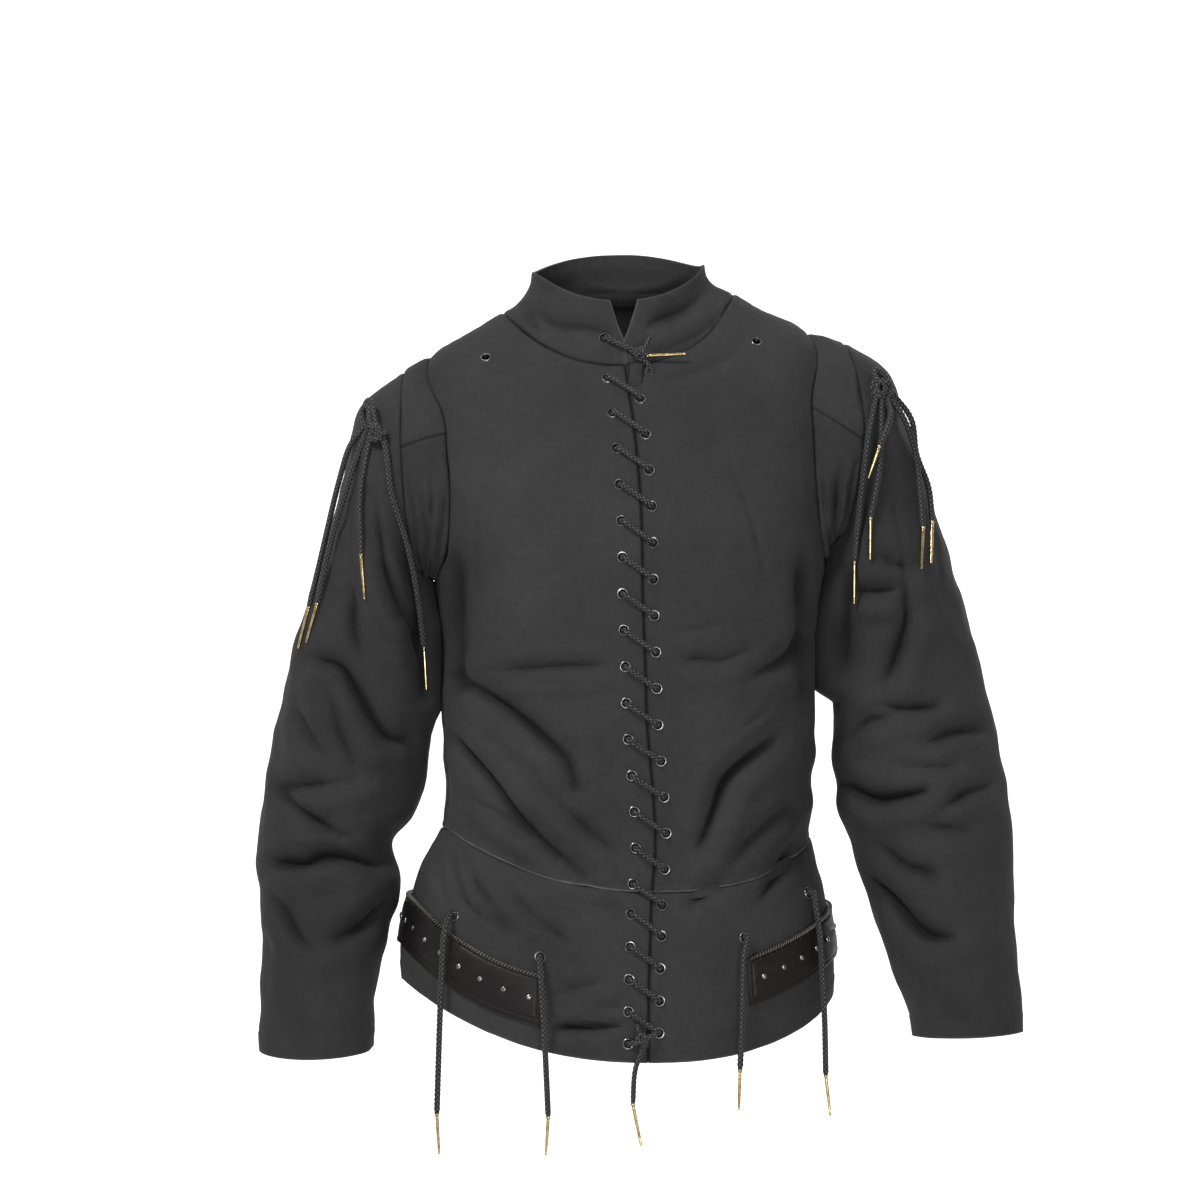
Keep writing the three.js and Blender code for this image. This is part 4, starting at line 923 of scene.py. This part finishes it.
def cord_material(name, tone):
    """Braided cord: fibres along the strands, painted shade between the strands and on the under strands,
    painted light on their crowns.
    """
    m = Shader(name)
    place = m.place()
    fibre = m.noise(place, 2600, 3)
    # Painted light on the strands' crowns, painted shade between them and on the under strands.
    painted_braid_shading = m.ramp(m.attribute("relief"), (0.35, 0.0), (0.8, 1.0))
    base = m.mix(painted_braid_shading, times(tone, 0.1), times(tone, 3.8))
    base = m.mix(0.6, base, m.ramp(fibre, (0.35, 0.45), (0.65, 1.0)), "MULTIPLY")
    base = m.mix(0.3, base, m.ramp(m.noise(place, 120, 2), (0.3, 0.6), (0.7, 1.0)), "MULTIPLY")
    m.set(Base_Color=base, Roughness=m.ramp(fibre, (0.2, 0.6), (0.8, 0.85)))
    m.set(Normal=m.bump(fibre, 0.00025, 0.6))
    m.set(Specular_IOR_Level=0.3, Sheen_Weight=0.03, Sheen_Roughness=0.4)
    return m.material


def metal_material(name, bright, dull, smoothest, roughest):
    """Worn metal: tarnish in patches and fine drawn scratches."""
    m = Shader(name)
    place = m.place()
    patches = m.noise(place, 260, 4)
    scratch = m.noise(place, 900, 2, (1, 1, 0.08))
    spots = m.maths("ADD", m.maths("MULTIPLY", patches, 0.7), m.maths("MULTIPLY", scratch, 0.3))
    m.set(Base_Color=m.mix(m.ramp(patches, (0.38, 0.0), (0.66, 1.0)), bright, dull), Metallic=1.0)
    m.set(Roughness=m.ramp(spots, (0.35, smoothest), (0.65, roughest)), Normal=m.bump(scratch, 0.0001, 0.25))
    return m.material


CANVAS = canvas_material("canvas", (0.0303, 0.0303, 0.0312))
# A darker copy of the canvas, used on the sleeves, gussets, tapes and tab: painted shade.
SHADED_CANVAS = canvas_material("canvas_painted_shade", (0.0272, 0.0272, 0.0281))
LEATHER = leather_material("leather")
CORD = cord_material("cord", (0.021, 0.021, 0.022))
BRASS = metal_material("brass", (0.56, 0.44, 0.23), (0.26, 0.17, 0.07), 0.10, 0.26)
STEEL = metal_material("steel", (0.34, 0.34, 0.34), (0.09, 0.09, 0.09), 0.18, 0.36)
EYELET = metal_material("eyelet", (0.2, 0.2, 0.2), (0.06, 0.06, 0.06), 0.22, 0.42)
THREAD = cord_material("thread", (0.006, 0.006, 0.006))
WAXED = cord_material("waxed_thread", (0.03, 0.029, 0.025))


# ---------------------------------------------------------------- eyelet sites
LAST_ROW, LAST_SKIRT_ROW = len(BODICE) - 1, len(SKIRT) - 1
PANELS = {"collar": (on_collar, 1.0), "bodice": (on_bodice, LAST_ROW), "skirt": (on_skirt, LAST_SKIRT_ROW)}


def halved(low, high, is_below):
    for _ in range(24):
        half = (low + high) / 2
        low, high = (half, high) if is_below(half) else (low, half)
    return (low + high) / 2


def row_at_height(panel, turn, z):
    surface, last = PANELS[panel]

    def height(t):
        return surface(np.array(t), np.array(turn))[2]

    rising = height(last) > height(0)
    return halved(0, last, lambda t: (height(t) < z) == rising)


def site_at(panel, x, z):
    """Panel, point and outward normal of an eyelet at x, z on the front."""
    surface = PANELS[panel][0]
    turn = halved(-89, 89, lambda a: surface(np.array(row_at_height(panel, a, z)), np.array(a))[0] < x)
    t = row_at_height(panel, turn, z)

    def at(dt, da):
        return surface(np.array(t + dt), np.array(turn + da))

    normal = unit(np.cross(at(0, 1) - at(0, -1), at(0.02, 0) - at(-0.02, 0)))
    return panel, at(0, 0), -normal if normal[1] > 0 else normal


def lacing_sites():
    right, left = [], []

    def place(z, inset):
        panel = "collar" if z > NECK_HEIGHT else "bodice" if z > WAIST_HEIGHT else "skirt"
        middle = PANELS[panel][0](np.array(row_at_height(panel, 0, z)), np.array(0.0))[0]
        return site_at(panel, middle + inset, z)

    for first, pitch, count, lower in LACING_ROWS:
        for k in range(count):
            z = first - k * pitch
            right.append(place(z, -LACING_INSET["right"]))
            left.append(place(z - lower, LACING_INSET["left"]))
    return right, left[:-1]


RIGHT_SITES, LEFT_SITES = lacing_sites()
CHEST_SITES = [site_at("bodice", x, z) for x, z in CHEST_EYELETS]
HIP_SITES = {name: site_at("skirt", *spec[0]) for name, spec in HIP_POINTS.items()}
ALL_SITES = RIGHT_SITES + LEFT_SITES + CHEST_SITES + list(HIP_SITES.values())

def holes_in(panel, sides=(-1, 1)):
    """Centres and normals of the holes in a panel, on the given sides of the lacing."""
    return [(at, normal) for name, at, normal in ALL_SITES
            if name == panel and (1 if at[0] > laced_edge_x(at[2]) else -1) in sides]


# ---------------------------------------------------------------- braided cord
def braid(name, path, radius, taper=None, closed=False, around=20):
    """A round braid along a path in millimetres. taper gives its radius factor along the path."""
    run, angle = run_along(path), circle(around)
    across, along = BRAID_STRANDS * angle[None, :] / (2 * math.pi), run[:, None] * BRAID_STRANDS / BRAID_PITCH
    u, v = across + along, across - along
    over = (np.floor(u) + np.floor(v)) % 2 == 0
    crown, ends = np.sin(np.pi * (np.where(over, u, v) % 1)), np.sin(np.pi * (np.where(over, v, u) % 1))
    # relief shapes the cord and also sets its colour: painted shade between strands and on the under strands.
    relief = np.clip(crown, 0, 1) * (0.5 + 0.5 * np.clip(ends, 0, 1) ** 0.7) * np.where(over, 1.0, 0.8)
    r = radius * (0.78 + 0.3 * relief)
    if taper is not None:
        r = r * taper(run)[:, None]
    verts, faces = swept(path, r, angle), tube_faces(len(path), around, closed)
    return mesh_object(name, verts.reshape(-1, 3), faces, None, {"relief": relief.ravel()}, sharp=80)


def leaving(tie, degrees, gap):
    """Where a cord leaves a tie: degrees from the lowest point of its ring."""
    at, facing, ring = TIES[tie]
    out = Vector(facing).normalized()
    lowest = (Vector((0, 0, -1)) + out * out.z).normalized()
    direction = Quaternion(out, math.radians(degrees)) @ lowest
    return np.array(at) + np.array(direction) * (ring + CORD_RADIUS + gap)


def crimped(run):
    """Radius factor of a cord that narrows into its aglet."""
    return 1 - 0.3 * smooth(run, run[-1] - 4.5, run[-1])


def aglet(name, start, end, node):
    """A rounded collar, then a thin tapering tube with a rolled tip."""
    long = float(np.linalg.norm(end - start))
    collar = [(0.5, -1.7), (1.2, -1.6), (1.75, -1.1), (2.0, -0.3), (1.95, 0.5), (1.6, 1.2), (1.3, 1.6)]
    tube = [(1.5, 2.0), (1.52, 3.0), (1.45, 0.4 * long), (1.25, 0.75 * long), (1.08, long - 1.5)]
    tip = [(1.16, long - 1.1), (1.05, long - 0.4), (0.5, long)]
    obj = mesh_object("aglet_tip_" + name, *turned(start, end - start, collar + tube + tip, 20), sharp=30)
    return dress(obj, BRASS, "brass", node)


def point_with_aglet(name, lead, route, tip, radius):
    """A free cord through its lead and its route, with its aglet."""
    path = through([*lead, *route], CORD_STEP)
    obj = braid("point_" + name, path, radius, crimped)
    dress(obj, CORD, "cord", "cord_" + name)
    tip = aglet(name, path[-1], np.array(tip, float), "aglet_" + name)


for name, (tie, degrees, route, tip) in ARM_POINTS.items():
    point_with_aglet(name, [leaving(tie, degrees, TIE_GAP)], route, tip, CORD_RADIUS)
for name, (_, route, tip) in HIP_POINTS.items():
    _, hole, normal = HIP_SITES[name]
    point_with_aglet(name, [hole + d * normal for d in (-3, 2, 6)], route, tip, CORD_RADIUS)
tie, degrees, route, tip = LACE_TAIL
point_with_aglet("lace_tail", [leaving(tie, degrees, TIE_GAP)], route, tip, LACE_RADIUS)
tie, degrees, tip = TOP_AGLET
aglet("top", leaving(tie, degrees, 0.2), np.array(tip, float), "aglet_lace_top")


# ---------------------------------------------------------------- cloth panels
def bodice_rows():
    """Rows of the bodice's grid, closest at its seams and even round the armhole."""
    low = spread(250, 2.8, SEAM_STEPS) / 250 * ARMPIT_ROW
    arm = armhole_row(np.linspace(180, 0, 76))
    high = TIP_ROW + spread(42, 2.2, (), SEAM_STEPS) / 42 * (LAST_ROW - TIP_ROW)
    return np.concatenate([low[:-1], arm, high[1:]])


def spaced(length, coarse, start=(), end=()):
    return spread(length, coarse, start, end) / length


def panel_grid(surface, ts, first, last, columns, reverse=False):
    """Points and cloth coordinates. first and last are turns for each row, columns are 0 to 1."""
    low, high = run_of(first * np.ones(len(ts))), run_of(last * np.ones(len(ts)))
    runs = low[:, None] + (high - low)[:, None] * columns[None, :]
    turns = turn_of(runs)
    if reverse:
        turns, runs = -turns[:, ::-1], -runs[:, ::-1]
    p = surface(np.broadcast_to(ts[:, None], turns.shape), turns)
    return p, np.stack([runs, np.broadcast_to(rise_along(p)[:, None], runs.shape)], -1)


def cloth(name, node, grid, relief, edges, cut, material=CANVAS, **more):
    """A sheet of canvas round a grid of points and cloth coordinates, in place of its solid."""
    obj = shell("cloth_" + name, *grid, relief, edges, **more)
    dress(obj, material, "canvas", node)


def panels(part, surface, ts, front, back, foot, head):
    """Two fronts and a back. front and back are the turns of their side seams."""
    for side, name in ((-1, "right"), (1, "left")):
        grid = panel_grid(surface, ts, OPENING_TURN, front - SEAM_TURN, FRONT_COLUMNS, reverse=side < 0)
        edges = (*("seam", "opening")[::-side], foot, head)
        whole, holes = f"{part}_front_{name}", holes_in(part, (side,))
        cloth(whole, whole, grid, body_relief, edges, part + "_front", holes=holes)
    back = back + SEAM_TURN
    columns = spaced(BACK_RUNS[part], 4, SEAM_STEPS, SEAM_STEPS)
    grid = panel_grid(surface, ts, back, 360 - back, columns)
    cloth(part + "_back", part + "_back", grid, body_relief, ("seam", "seam", foot, head), part + "_back")


FRONT_COLUMNS = spaced(262, 3.3, EYELET_STEPS, SEAM_STEPS)
BACK_RUNS = {"bodice": 520, "skirt": 540}
ts = bodice_rows()
armholes = [armhole_turn(ts, np.array(front)) for front in (True, False)]
panels("bodice", on_bodice, ts, *armholes, "over", "seam")
ts = LAST_SKIRT_ROW * (1 - spaced(132, 2.9, HEM_STEPS, SEAM_STEPS))
panels("skirt", on_skirt, ts, 90, 90, "hem", "under")

heights = 0.008 + 0.992 * spaced(40, 1.6, SEAM_STEPS, RIM_STEPS)
opened = OPENING_TURN + COLLAR_NOTCH[0] * np.maximum(0, heights - COLLAR_NOTCH[1]) / (1 - COLLAR_NOTCH[1])
grid = panel_grid(on_collar, heights, opened, 360 - opened, spaced(940, 4.4, COLLAR_STEPS, COLLAR_STEPS))
edges = ("rim", "rim", "seam", "rim")
cloth("collar", "collar", grid, collar_relief, edges, "collar", holes=holes_in("collar"))


# Tapes sewn inside, behind the laced opening and over the waist and neck seams.
def tape(name, p):
    obj = shell(name, p, strip_uv(p), None, thick=1.0, lift=-1.9, calm=0.0)
    dress(obj, SHADED_CANVAS, "canvas")


across = np.linspace(-4.5, 4.5, 7)[None, :]
behind_lacing = (("skirt", on_skirt, LAST_SKIRT_ROW, 0.05), ("bodice", on_bodice, 0, LAST_ROW))
for name, surface, low, high in behind_lacing:
    tape("tape_front_" + name, surface(*np.broadcast_arrays(np.linspace(low, high, 60)[:, None], across)))
turns = np.linspace(0.4, 359.6, 240)
for name, levels in {
    "waist": [(on_skirt, t) for t in (0.45, 0.25, 0.02)] + [(on_bodice, t) for t in (0.02, 0.08, 0.15)],
    "neck": [(on_bodice, t) for t in (11.6, 11.8, 11.98)] + [(on_collar, h) for h in (0.02, 0.08, 0.14)],
}.items():
    tape("tape_" + name, np.array([surface(np.full(240, t), turns) for surface, t in levels]))

# ---------------------------------------------------------------- sleeves, caps and gussets
SLEEVES = (("right", -1, SLEEVE_RIGHT, RIGHT_SLEEVE_FOLDS, FINE_RIGHT),
           ("left", 1, SLEEVE_LEFT, LEFT_SLEEVE_FOLDS, FINE_LEFT))
SLEEVE_AROUND, SLEEVE_GIRTH = 112, 430


def rest_on_trunk(name, side, p, turn):
    """Move a sleeve's inner side against the bodice, down to where the arm leaves the body."""
    trunk = on_bodice(np.linspace(0, 6, 60), side * 90.0)
    reach = np.interp(p[..., 2], trunk[:, 2], trunk[:, 0]) + side * REST_GAP
    inner = bump((1 + sine_cosine(turn)[1]) / 0.13) * smooth(p[..., 2], *REST_BELOW[name])
    return np.stack([p[..., 0] + inner * (reach - p[..., 0]), p[..., 1], p[..., 2]], -1)


def cuffed(name, p):
    """Draw the cuff's edge up, more at its front, as the bent arm does."""
    whole, front = CUFF_LIFT[name]
    x, y, z = p[..., 0], p[..., 1], p[..., 2]
    high, low = y.max(1)[:, None], y.min(1)[:, None]
    edge = z[0].mean()
    near = 1 - smooth(z, edge + 4, edge + 100)
    forward = np.clip(((high + low) / 2 - y) / ((high - low) / 2), 0, 1)
    return np.stack([x, y, z + near * (whole + front * forward)], -1)


def sleeve_grid(name, side, rows):
    ts = (len(rows) - 1) * (1 - spaced(600, 3.2, HEM_STEPS, SEAM_STEPS))
    t, turn = np.broadcast_arrays(ts[:, None], -side * np.degrees(circle(SLEEVE_AROUND))[None, :])
    p = cuffed(name, rest_on_trunk(name, side, on_sleeve(rows, t, turn), turn))
    u = SLEEVE_GIRTH * np.arange(SLEEVE_AROUND) / SLEEVE_AROUND
    return p, np.stack(np.broadcast_arrays(u[None, :], rise_along(p)[:, None]), -1)


def head_strip(side, rows, first, last, columns, puff):
    """Strip from the sleeve head to the armhole, between two lines given by their end turns."""
    k0 = spaced(60, 60 / 22, SEAM_STEPS, SEAM_STEPS)[:, None]
    low, high = (a + (b - a) * k0 for a, b in (first, last))
    turns = -side * (low + (high - low) * np.linspace(0, 1, columns)[None, :])
    head, edge = on_sleeve(rows, np.zeros(turns.shape), turns), on_armhole(side, turns)
    gap = HEAD_GAP / np.linalg.norm(head - edge, axis=2)
    k = gap + (1 - 2 * gap) * k0
    s, c = sine_cosine(turns)
    out = np.stack([0 * s, -s, c], -1) * (puff * np.sin(np.pi * k0))[..., None]
    p = head + (edge - head) * k[..., None] + out
    return p, strip_uv(p)


for name, side, rows, folds, fine in SLEEVES:
    relief, edges = sleeve_relief(folds, fine, rows), (None, None, "hem", "seam")
    grid = sleeve_grid(name, side, rows)
    cloth("sleeve_" + name, "sleeve_" + name, grid, relief, edges, "sleeve", SHADED_CANVAS, loop=True)
    cap, end = np.array(CAP_END[name]), np.array(GUSSET_END[name])
    grid = head_strip(side, rows, -cap, cap, 96, CAP_PUFF)
    cloth("cap_" + name, "shoulder_cap_" + name, grid, cap_relief(name), ("seam",) * 4, "cap_" + name)
    ends = ((cap + 0.1, end), (-end, -cap - 0.1))
    for where, (low, high) in zip(("front", "back")[::-side], ends):
        part = f"gusset_{where}_{name}"
        grid = head_strip(side, rows, low, high, 54, GUSSET_PUFF)
        rolls = gusset_relief(2 * len(where + name) + int(low[0] < 0))
        cloth(part, part, grid, rolls, ("seam",) * 4, "gusset", SHADED_CANVAS)


# ---------------------------------------------------------------- leather band
def band_points(turns, rises):
    """Points of the skirt's form at heights above the band's centre line."""
    turn, rise = np.broadcast_arrays(turns[None, :], rises[:, None])
    z = band_height(turn) + rise
    low, high = np.zeros(z.shape), np.full(z.shape, float(LAST_SKIRT_ROW))
    for _ in range(26):
        half = (low + high) / 2
        above = on_skirt(half, turn)[..., 2] > z
        low, high = np.where(above, half, low), np.where(above, high, half)
    return on_skirt(low, turn)


def band_relief(q, n):
    """Pressed grooves along the strap's edges and a low crown between them."""
    edge = np.min(edge_distances(q), axis=0)
    groove = -0.7 * bump((edge - 3.8) / 0.6) - 0.5 * bump(edge / 0.9)
    return groove + 0.5 * smooth(edge, 0, 12) + 0.25 * medium(q) + 0.06 * small(q)


end = BAND_LINE["end"]
length = run_of(360 - end) - run_of(end)
band_turns = turn_of(run_of(end) + spread(length, 5, STRAP_STEPS, STRAP_STEPS))
low_rises = np.array((-20, -19.3, -18.4, -17.4, -16.6, -16, -15.4, -14.4))
high_rises = np.array((14, 15.4, 16.4, 17.4, 18.4, 19.3, 20))
p = band_points(band_turns, np.concatenate([low_rises, np.arange(-12, 13, 3), high_rises]))
obj = shell("strap_leather_band", p, strip_uv(p), band_relief, thick=BAND_THICK, lift=BAND_LIFT, calm=0)
dress(obj, LEATHER, "leather", "leather_band")


def band_frame(turn, rise, lift):
    """Point above the band at a turn and rise, with its outward normal, along and up directions."""
    a = band_points(turn + np.array([-0.6, 0, 0.6]), rise + np.array([-2.0, 0, 2.0]))
    along, up = unit(a[1, 2] - a[1, 0]), unit(a[2, 1] - a[0, 1])
    normal = unit(np.cross(along, up))
    return a[1, 1] + normal * lift, normal, along, up


# Studs one pitch apart along the centre line, each a dome in a pressed ring.
line_turns = np.arange(end, 360 - end, 0.25)
line_run = run_along(band_points(line_turns, np.array([0.0]))[0])
DOME = [(2.5, -0.3), (2.55, 0.4), (2.45, 0.9), (2.15, 1.4), (1.6, 1.8), (0.85, 2.05), (0.15, 2.1)]
WASHER = [(3.9, -0.2), (4.0, 0.25), (3.7, 0.5), (3.1, 0.35), (2.6, 0.1), (2.5, -0.2)]
stud_turns = np.interp(np.arange(STUD_FIRST, line_run[-1] - 4, STUD_PITCH), line_run, line_turns)
seats = [band_frame(turn, 0, BAND_LIFT + BAND_THICK / 2)[:2] for turn in stud_turns]
many("rivets_band", [turned(*seat, DOME, 20) for seat in seats], STEEL, "steel")
many("rivets_washers", [turned(*seat, WASHER, 22) for seat in seats], LEATHER, "leather")

# Overcast stitches along the band's upper edge, each second one with a tail down its face.
whip, tails = [], []
for k, run in enumerate(np.arange(3, line_run[-1] - 3, STITCH_PITCH)):
    turn = float(np.interp(run, line_run, line_turns))
    lean = 0.9 + 0.35 * math.sin(k * 1.7)
    points = []
    for rise, lift, shift in ((17.6, 5.1, -1), (18.8, 5.7, -0.2), (19.9, 5.2, 0.7), (20.6, 3.6, 1)):
        centre, normal, along, up = band_frame(turn, min(rise, 19.5), lift)
        points.append(centre + along * shift * lean + up * max(0, rise - 19.5))
    whip.append(worm(points, 0.55))
    if k % 2:
        long = 3.4 + 1.2 * math.sin(k * 2.3)
        ends = [band_frame(turn, 17.4 - long * f, 5.15 - 0.1 * f) for f in (0, 0.5, 1)]
        tails.append(worm([c + a * lean * 0.5 for c, _, a, _ in ends], 0.42))
many("stitches_band", whip, WAXED, "leather")
many("stitches_band_tails", tails, THREAD, "leather")

# ---------------------------------------------------------------- eyelets
RIM_FACE = [(3.35, -2.4), (3.15, -1.2), (3.1, 0.4), (3.3, 1.35), (3.75, 1.85), (4.4, 1.95), (5.0, 1.6),
            (5.25, 1.05), (5.25, 0.5)]
RIM_INSIDE = [(5.1, -1.0), (4.9, -1.7), (4.2, -1.9), (3.35, -2.4)]
rims = []
for _, centre, normal in ALL_SITES:
    rims.append(turned(centre, normal, RIM_FACE, 24, capped=False))
    verts, faces = turned(centre, normal, RIM_INSIDE, 24, capped=False)
    rims.append((verts, [face[::-1] for face in faces]))
many("eyelet_rims", rims, EYELET, "steel")


# ---------------------------------------------------------------- front lace
def cross(a, b, out):
    """Control points from one eyelet to the next, in front of the cloth or behind it."""
    (panel, pa, na), (next_panel, pb, nb) = a, b
    direction = unit((pb - pa) - ((pb - pa) @ na) * na)
    bow = out * 4.9 if out > 0 else -8 if panel != next_panel else -4.6
    middle = (pa + pb) / 2 + unit(na + nb) * bow
    return [pa, pa + direction * 2.4 + na * out * 4.0, middle, pb - direction * 2.4 + nb * out * 4.0]


def lace_points():
    """Start inside the top eyelet, cross to and fro, and end in the lower knot."""
    _, first, normal = RIGHT_SITES[0]
    points = [first - 4.6 * normal]
    for near, far, below in zip(RIGHT_SITES, LEFT_SITES, RIGHT_SITES[1:]):
        points += cross(near, far, 1) + cross(far, below, -1)
    _, last, normal = RIGHT_SITES[-1]
    knot = np.array(TIES["lace_knot_bottom"][0])
    direction = unit((knot - last) - ((knot - last) @ normal) * normal)
    points += [last, last + direction * 2.6 + normal * 4.0]
    if np.linalg.norm(knot - points[-1]) > 8:
        points.append((points[-1] + knot) / 2 + normal * 0.8)
    return points


lace = braid("lace_front", through(lace_points(), FINE_STEP), LACE_RADIUS + 0.2, around=22)
dress(lace, CORD, "cord", "front_lace")


# ---------------------------------------------------------------- knots
# Strands of each knot: along the cloth to the wearer's left, down it, and out of it.
STRANDS = {
    "arm_tie_right": [
        [(-8.2, 5.7, 0), (-14, -2, 2), (-15, -10, 2.5), (-9, -15, 3.5), (-1, -14, 4.5), (5, -7, 5), (9, 2, 4),
         (13, 9, 3.5), (16, 14, 2.5)],
        [(-3.1, 9.5, 0), (-8, 2, 4), (-9, -5, 6), (-4, -9.5, 7), (2, -7, 7), (5, 0, 7), (8, 7, 6.5),
         (12, 12, 5.5), (14, 17, 1.5)],
        [(3.4, 9.4, 0), (0, 3, 1.5), (-3, -3, 2), (-1, -5, 3), (4, -3, 2.5), (8, 4, 1), (11, 10, 0.5)],
        [(9, 13, 0), (9.5, 10, 4.5), (14, 9, 7), (18.5, 12, 6), (19.5, 17, 3), (15, 20, 4), (10, 18.5, 5),
         (8.5, 14, 3)],
    ],
    "arm_tie_left": [
        [(1, 9.9, 0), (4.5, 4, 3.5), (6, -6, 4), (2.5, -15, 3), (-2.5, -17, 2), (-5, -11, 2), (-5.5, -4, 3),
         (-8.5, 0, 2.5), (-8.8, 4.7, 0)],
        [(6.4, 7.7, 0), (9.5, 1, 2), (9.5, -8, 2.5), (5, -14.5, 0.5), (0, -16, -3)],
        [(9.7, 2.4, 0), (12.5, -4, 0.5), (11, -12, -1), (7, -16, -4)],
        [(-4.7, 8.8, 0), (-1.5, 3, 4), (-2.5, -3, 5.5), (-8, -5.5, 3.5), (-10.5, -1, 0), (-9, 3, -2)],
        [(-7, -2, -2), (-6, -4, 3), (0, -1.5, 6.8), (7, -3, 6), (10, -5, 1), (9, -6, -3)],
    ],
    "lace_knot_top": [
        [(-7.5, -3.5, 0.5), (-3, -1, 2.5), (1.5, -2, 4.5), (4.5, -7, 4), (7, -13, 2.5), (7.6, -15.2, 2.2)],
        [(2.5, 4.5, 0), (-2.5, 2.5, 1.5), (-3.5, -3, 3), (0.5, -5, 4), (3.5, -1, 4.5), (2.5, 3, 3),
         (-1, 4.5, 0)],
        [(1, 2, 1), (5, 6, 2.5), (9, 11, 2.2), (10.5, 16, 2), (7, 18.5, 2.5), (4.5, 14.5, 2.5), (7, 11, 1.2)],
    ],
    "lace_knot_bottom": [
        [(-8, 3.5, 0.5), (-3, 2.5, 2), (1.5, -0.5, 3.5), (6, -2.5, 2.5), (11, -4.5, 0.5)],
        [(-4.5, -13, 0.5), (-3, -7, 1.5), (0.5, -1.5, 1), (3, 3.5, 1), (0.5, 6.5, 0)],
        [(4, 4, 0.5), (-0.5, 2.5, 4.5), (-4, -1.5, 3.5), (-1, -4.5, 4), (3, -1, 5), (0.2, 5.5, 2.5),
         (0, 8, 0.5)],
    ],
}
# Small knots round a point's cord: how far along it, and their radius.
HITCHES = {"arm_right_4": (13, 3.6), "arm_left_3": (2, 3.0)}


def tie_frame(name):
    at, facing, _ = TIES[name]
    out = unit(facing)
    lowest = unit(np.array((0, 0, -1.0)) + out * out[2])
    return np.array(at, float), np.cross(out, lowest), lowest, out


for name, strands in STRANDS.items():
    at, side, lowest, out = tie_frame(name)
    arm = name.startswith("arm")
    radius, rounding = (CORD_RADIUS, 1 / 150) if arm else (LACE_RADIUS, 0)
    pieces = []
    for k, strand in enumerate(strands):
        along, down, away = np.array(strand, float).T[..., None]
        path = at + along * side + down * lowest + (away - rounding * along ** 2) * out
        pieces.append(braid(f"strand_{name}_{k}", through(path, FINE_STEP), radius))
    with bpy.context.temp_override(active_object=pieces[0], selected_editable_objects=pieces):
        bpy.ops.object.join()
    pieces[0].name = "knot_" + name
    dress(pieces[0], CORD, "cord", name)

for name, (away, ring) in HITCHES.items():
    tie, degrees, route, _ = ARM_POINTS[name]
    path = through([leaving(tie, degrees, TIE_GAP), *route], HITCH_STEP)
    at = int(away / HITCH_STEP)
    ahead = unit(path[at + 3] - path[at])
    across = unit(np.cross(tie_frame(tie)[3], ahead))
    t = circle(40)[:, None]
    loop = path[at] + np.cos(t) * ring * 1.05 * across + np.sin(2 * t + 0.4) * ring * 0.75 * ahead
    loop += np.sin(t) * ring * 0.95 * np.cross(ahead, across)
    loop = through(np.vstack([loop, loop[:1]]), HITCH_STEP)[:-1]
    dress(braid("hitch_" + name, loop, CORD_RADIUS * 0.85, closed=True), CORD, "cord")

# The tab that hangs below the top knot.
z, x = np.meshgrid(np.linspace(-56.5, -34, 22), np.linspace(7.5, 19.5, 13), indexing="ij")
tab = np.stack([x + 0.06 * (z + 34), -69.6 + 0.4 * (z + 34) - 1.2 * np.sin((x - 7.5) / 3.8), z], -1)
obj = shell("tab_lace", tab, strip_uv(tab), None, ("opening",) * 4, thick=1.6)
dress(obj, SHADED_CANVAS, "canvas")

# ---------------------------------------------------------------- floor, backdrop and light
BOWL = [(4500, -1050), (5300, -950), (5900, -600), (6300, 0), (6500, 1000), (6550, 5000)]
BOWL_SIDES = 96
verts = [(r * math.cos(a), r * math.sin(a), z) for r, z in BOWL for a in circle(BOWL_SIDES)]
faces = [face[::-1] for face in tube_faces(len(BOWL), BOWL_SIDES, capped=False)]
faces += [[len(verts), i, (i + 1) % BOWL_SIDES] for i in range(BOWL_SIDES)]
verts.append((0, 0, BOWL[0][1]))
stage = mesh_object("studio", verts, faces)
shader = Shader("studio")
place = shader.place()
parts = shader.add("ShaderNodeSeparateXYZ", Vector=place)
# The backdrop glows, weakly in front of the part and strongly behind it: painted light, which also lights the
# part as a fill.
behind = shader.span(parts.outputs["Y"], -0.5, 2.2, 0.14, 0.9, interpolation_type="SMOOTHSTEP")
shader.set(Base_Color=shader.ramp(shader.noise(place, 0.4, 2), (0.2, 0.46), (0.8, 0.5)), Roughness=0.9)
shader.set(Emission_Color=(1.0, 1.0, 1.0), Emission_Strength=behind)
stage.data.materials.append(shader.material)


def softbox(name, place, size, power, aim=(0, 0, -0.3)):
    light = bpy.data.lights.new(name, "AREA")
    light.shape = "RECTANGLE"
    light.size, light.size_y = size
    light.energy = power
    obj = bpy.data.objects.new(name, light)
    bpy.context.scene.collection.objects.link(obj)
    obj.location = place
    obj.rotation_euler = (Vector(aim) - Vector(place)).to_track_quat("-Z", "Y").to_euler()


softbox("key", (-1.5, -2.3, 2.4), (0.9, 0.9), 124)
softbox("fill", (0.5, -3.1, -0.9), (1.4, 1.4), 75, (0, 0, -0.4))
softbox("top", (0.0, 0.4, 2.6), (2.0, 1.4), 22)
softbox("back", (0.6, 3.0, 1.6), (2.0, 1.4), 22)
world = bpy.data.worlds.new("world")
bpy.context.scene.world = world
world.use_nodes = True
sky = world.node_tree.nodes["Background"].inputs
sky["Color"].default_value = (0.9, 0.9, 0.9, 1)
sky["Strength"].default_value = 0.3
bpy.context.scene.view_settings.view_transform = "Standard"

# ---------------------------------------------------------------- update
bpy.context.view_layer.update()
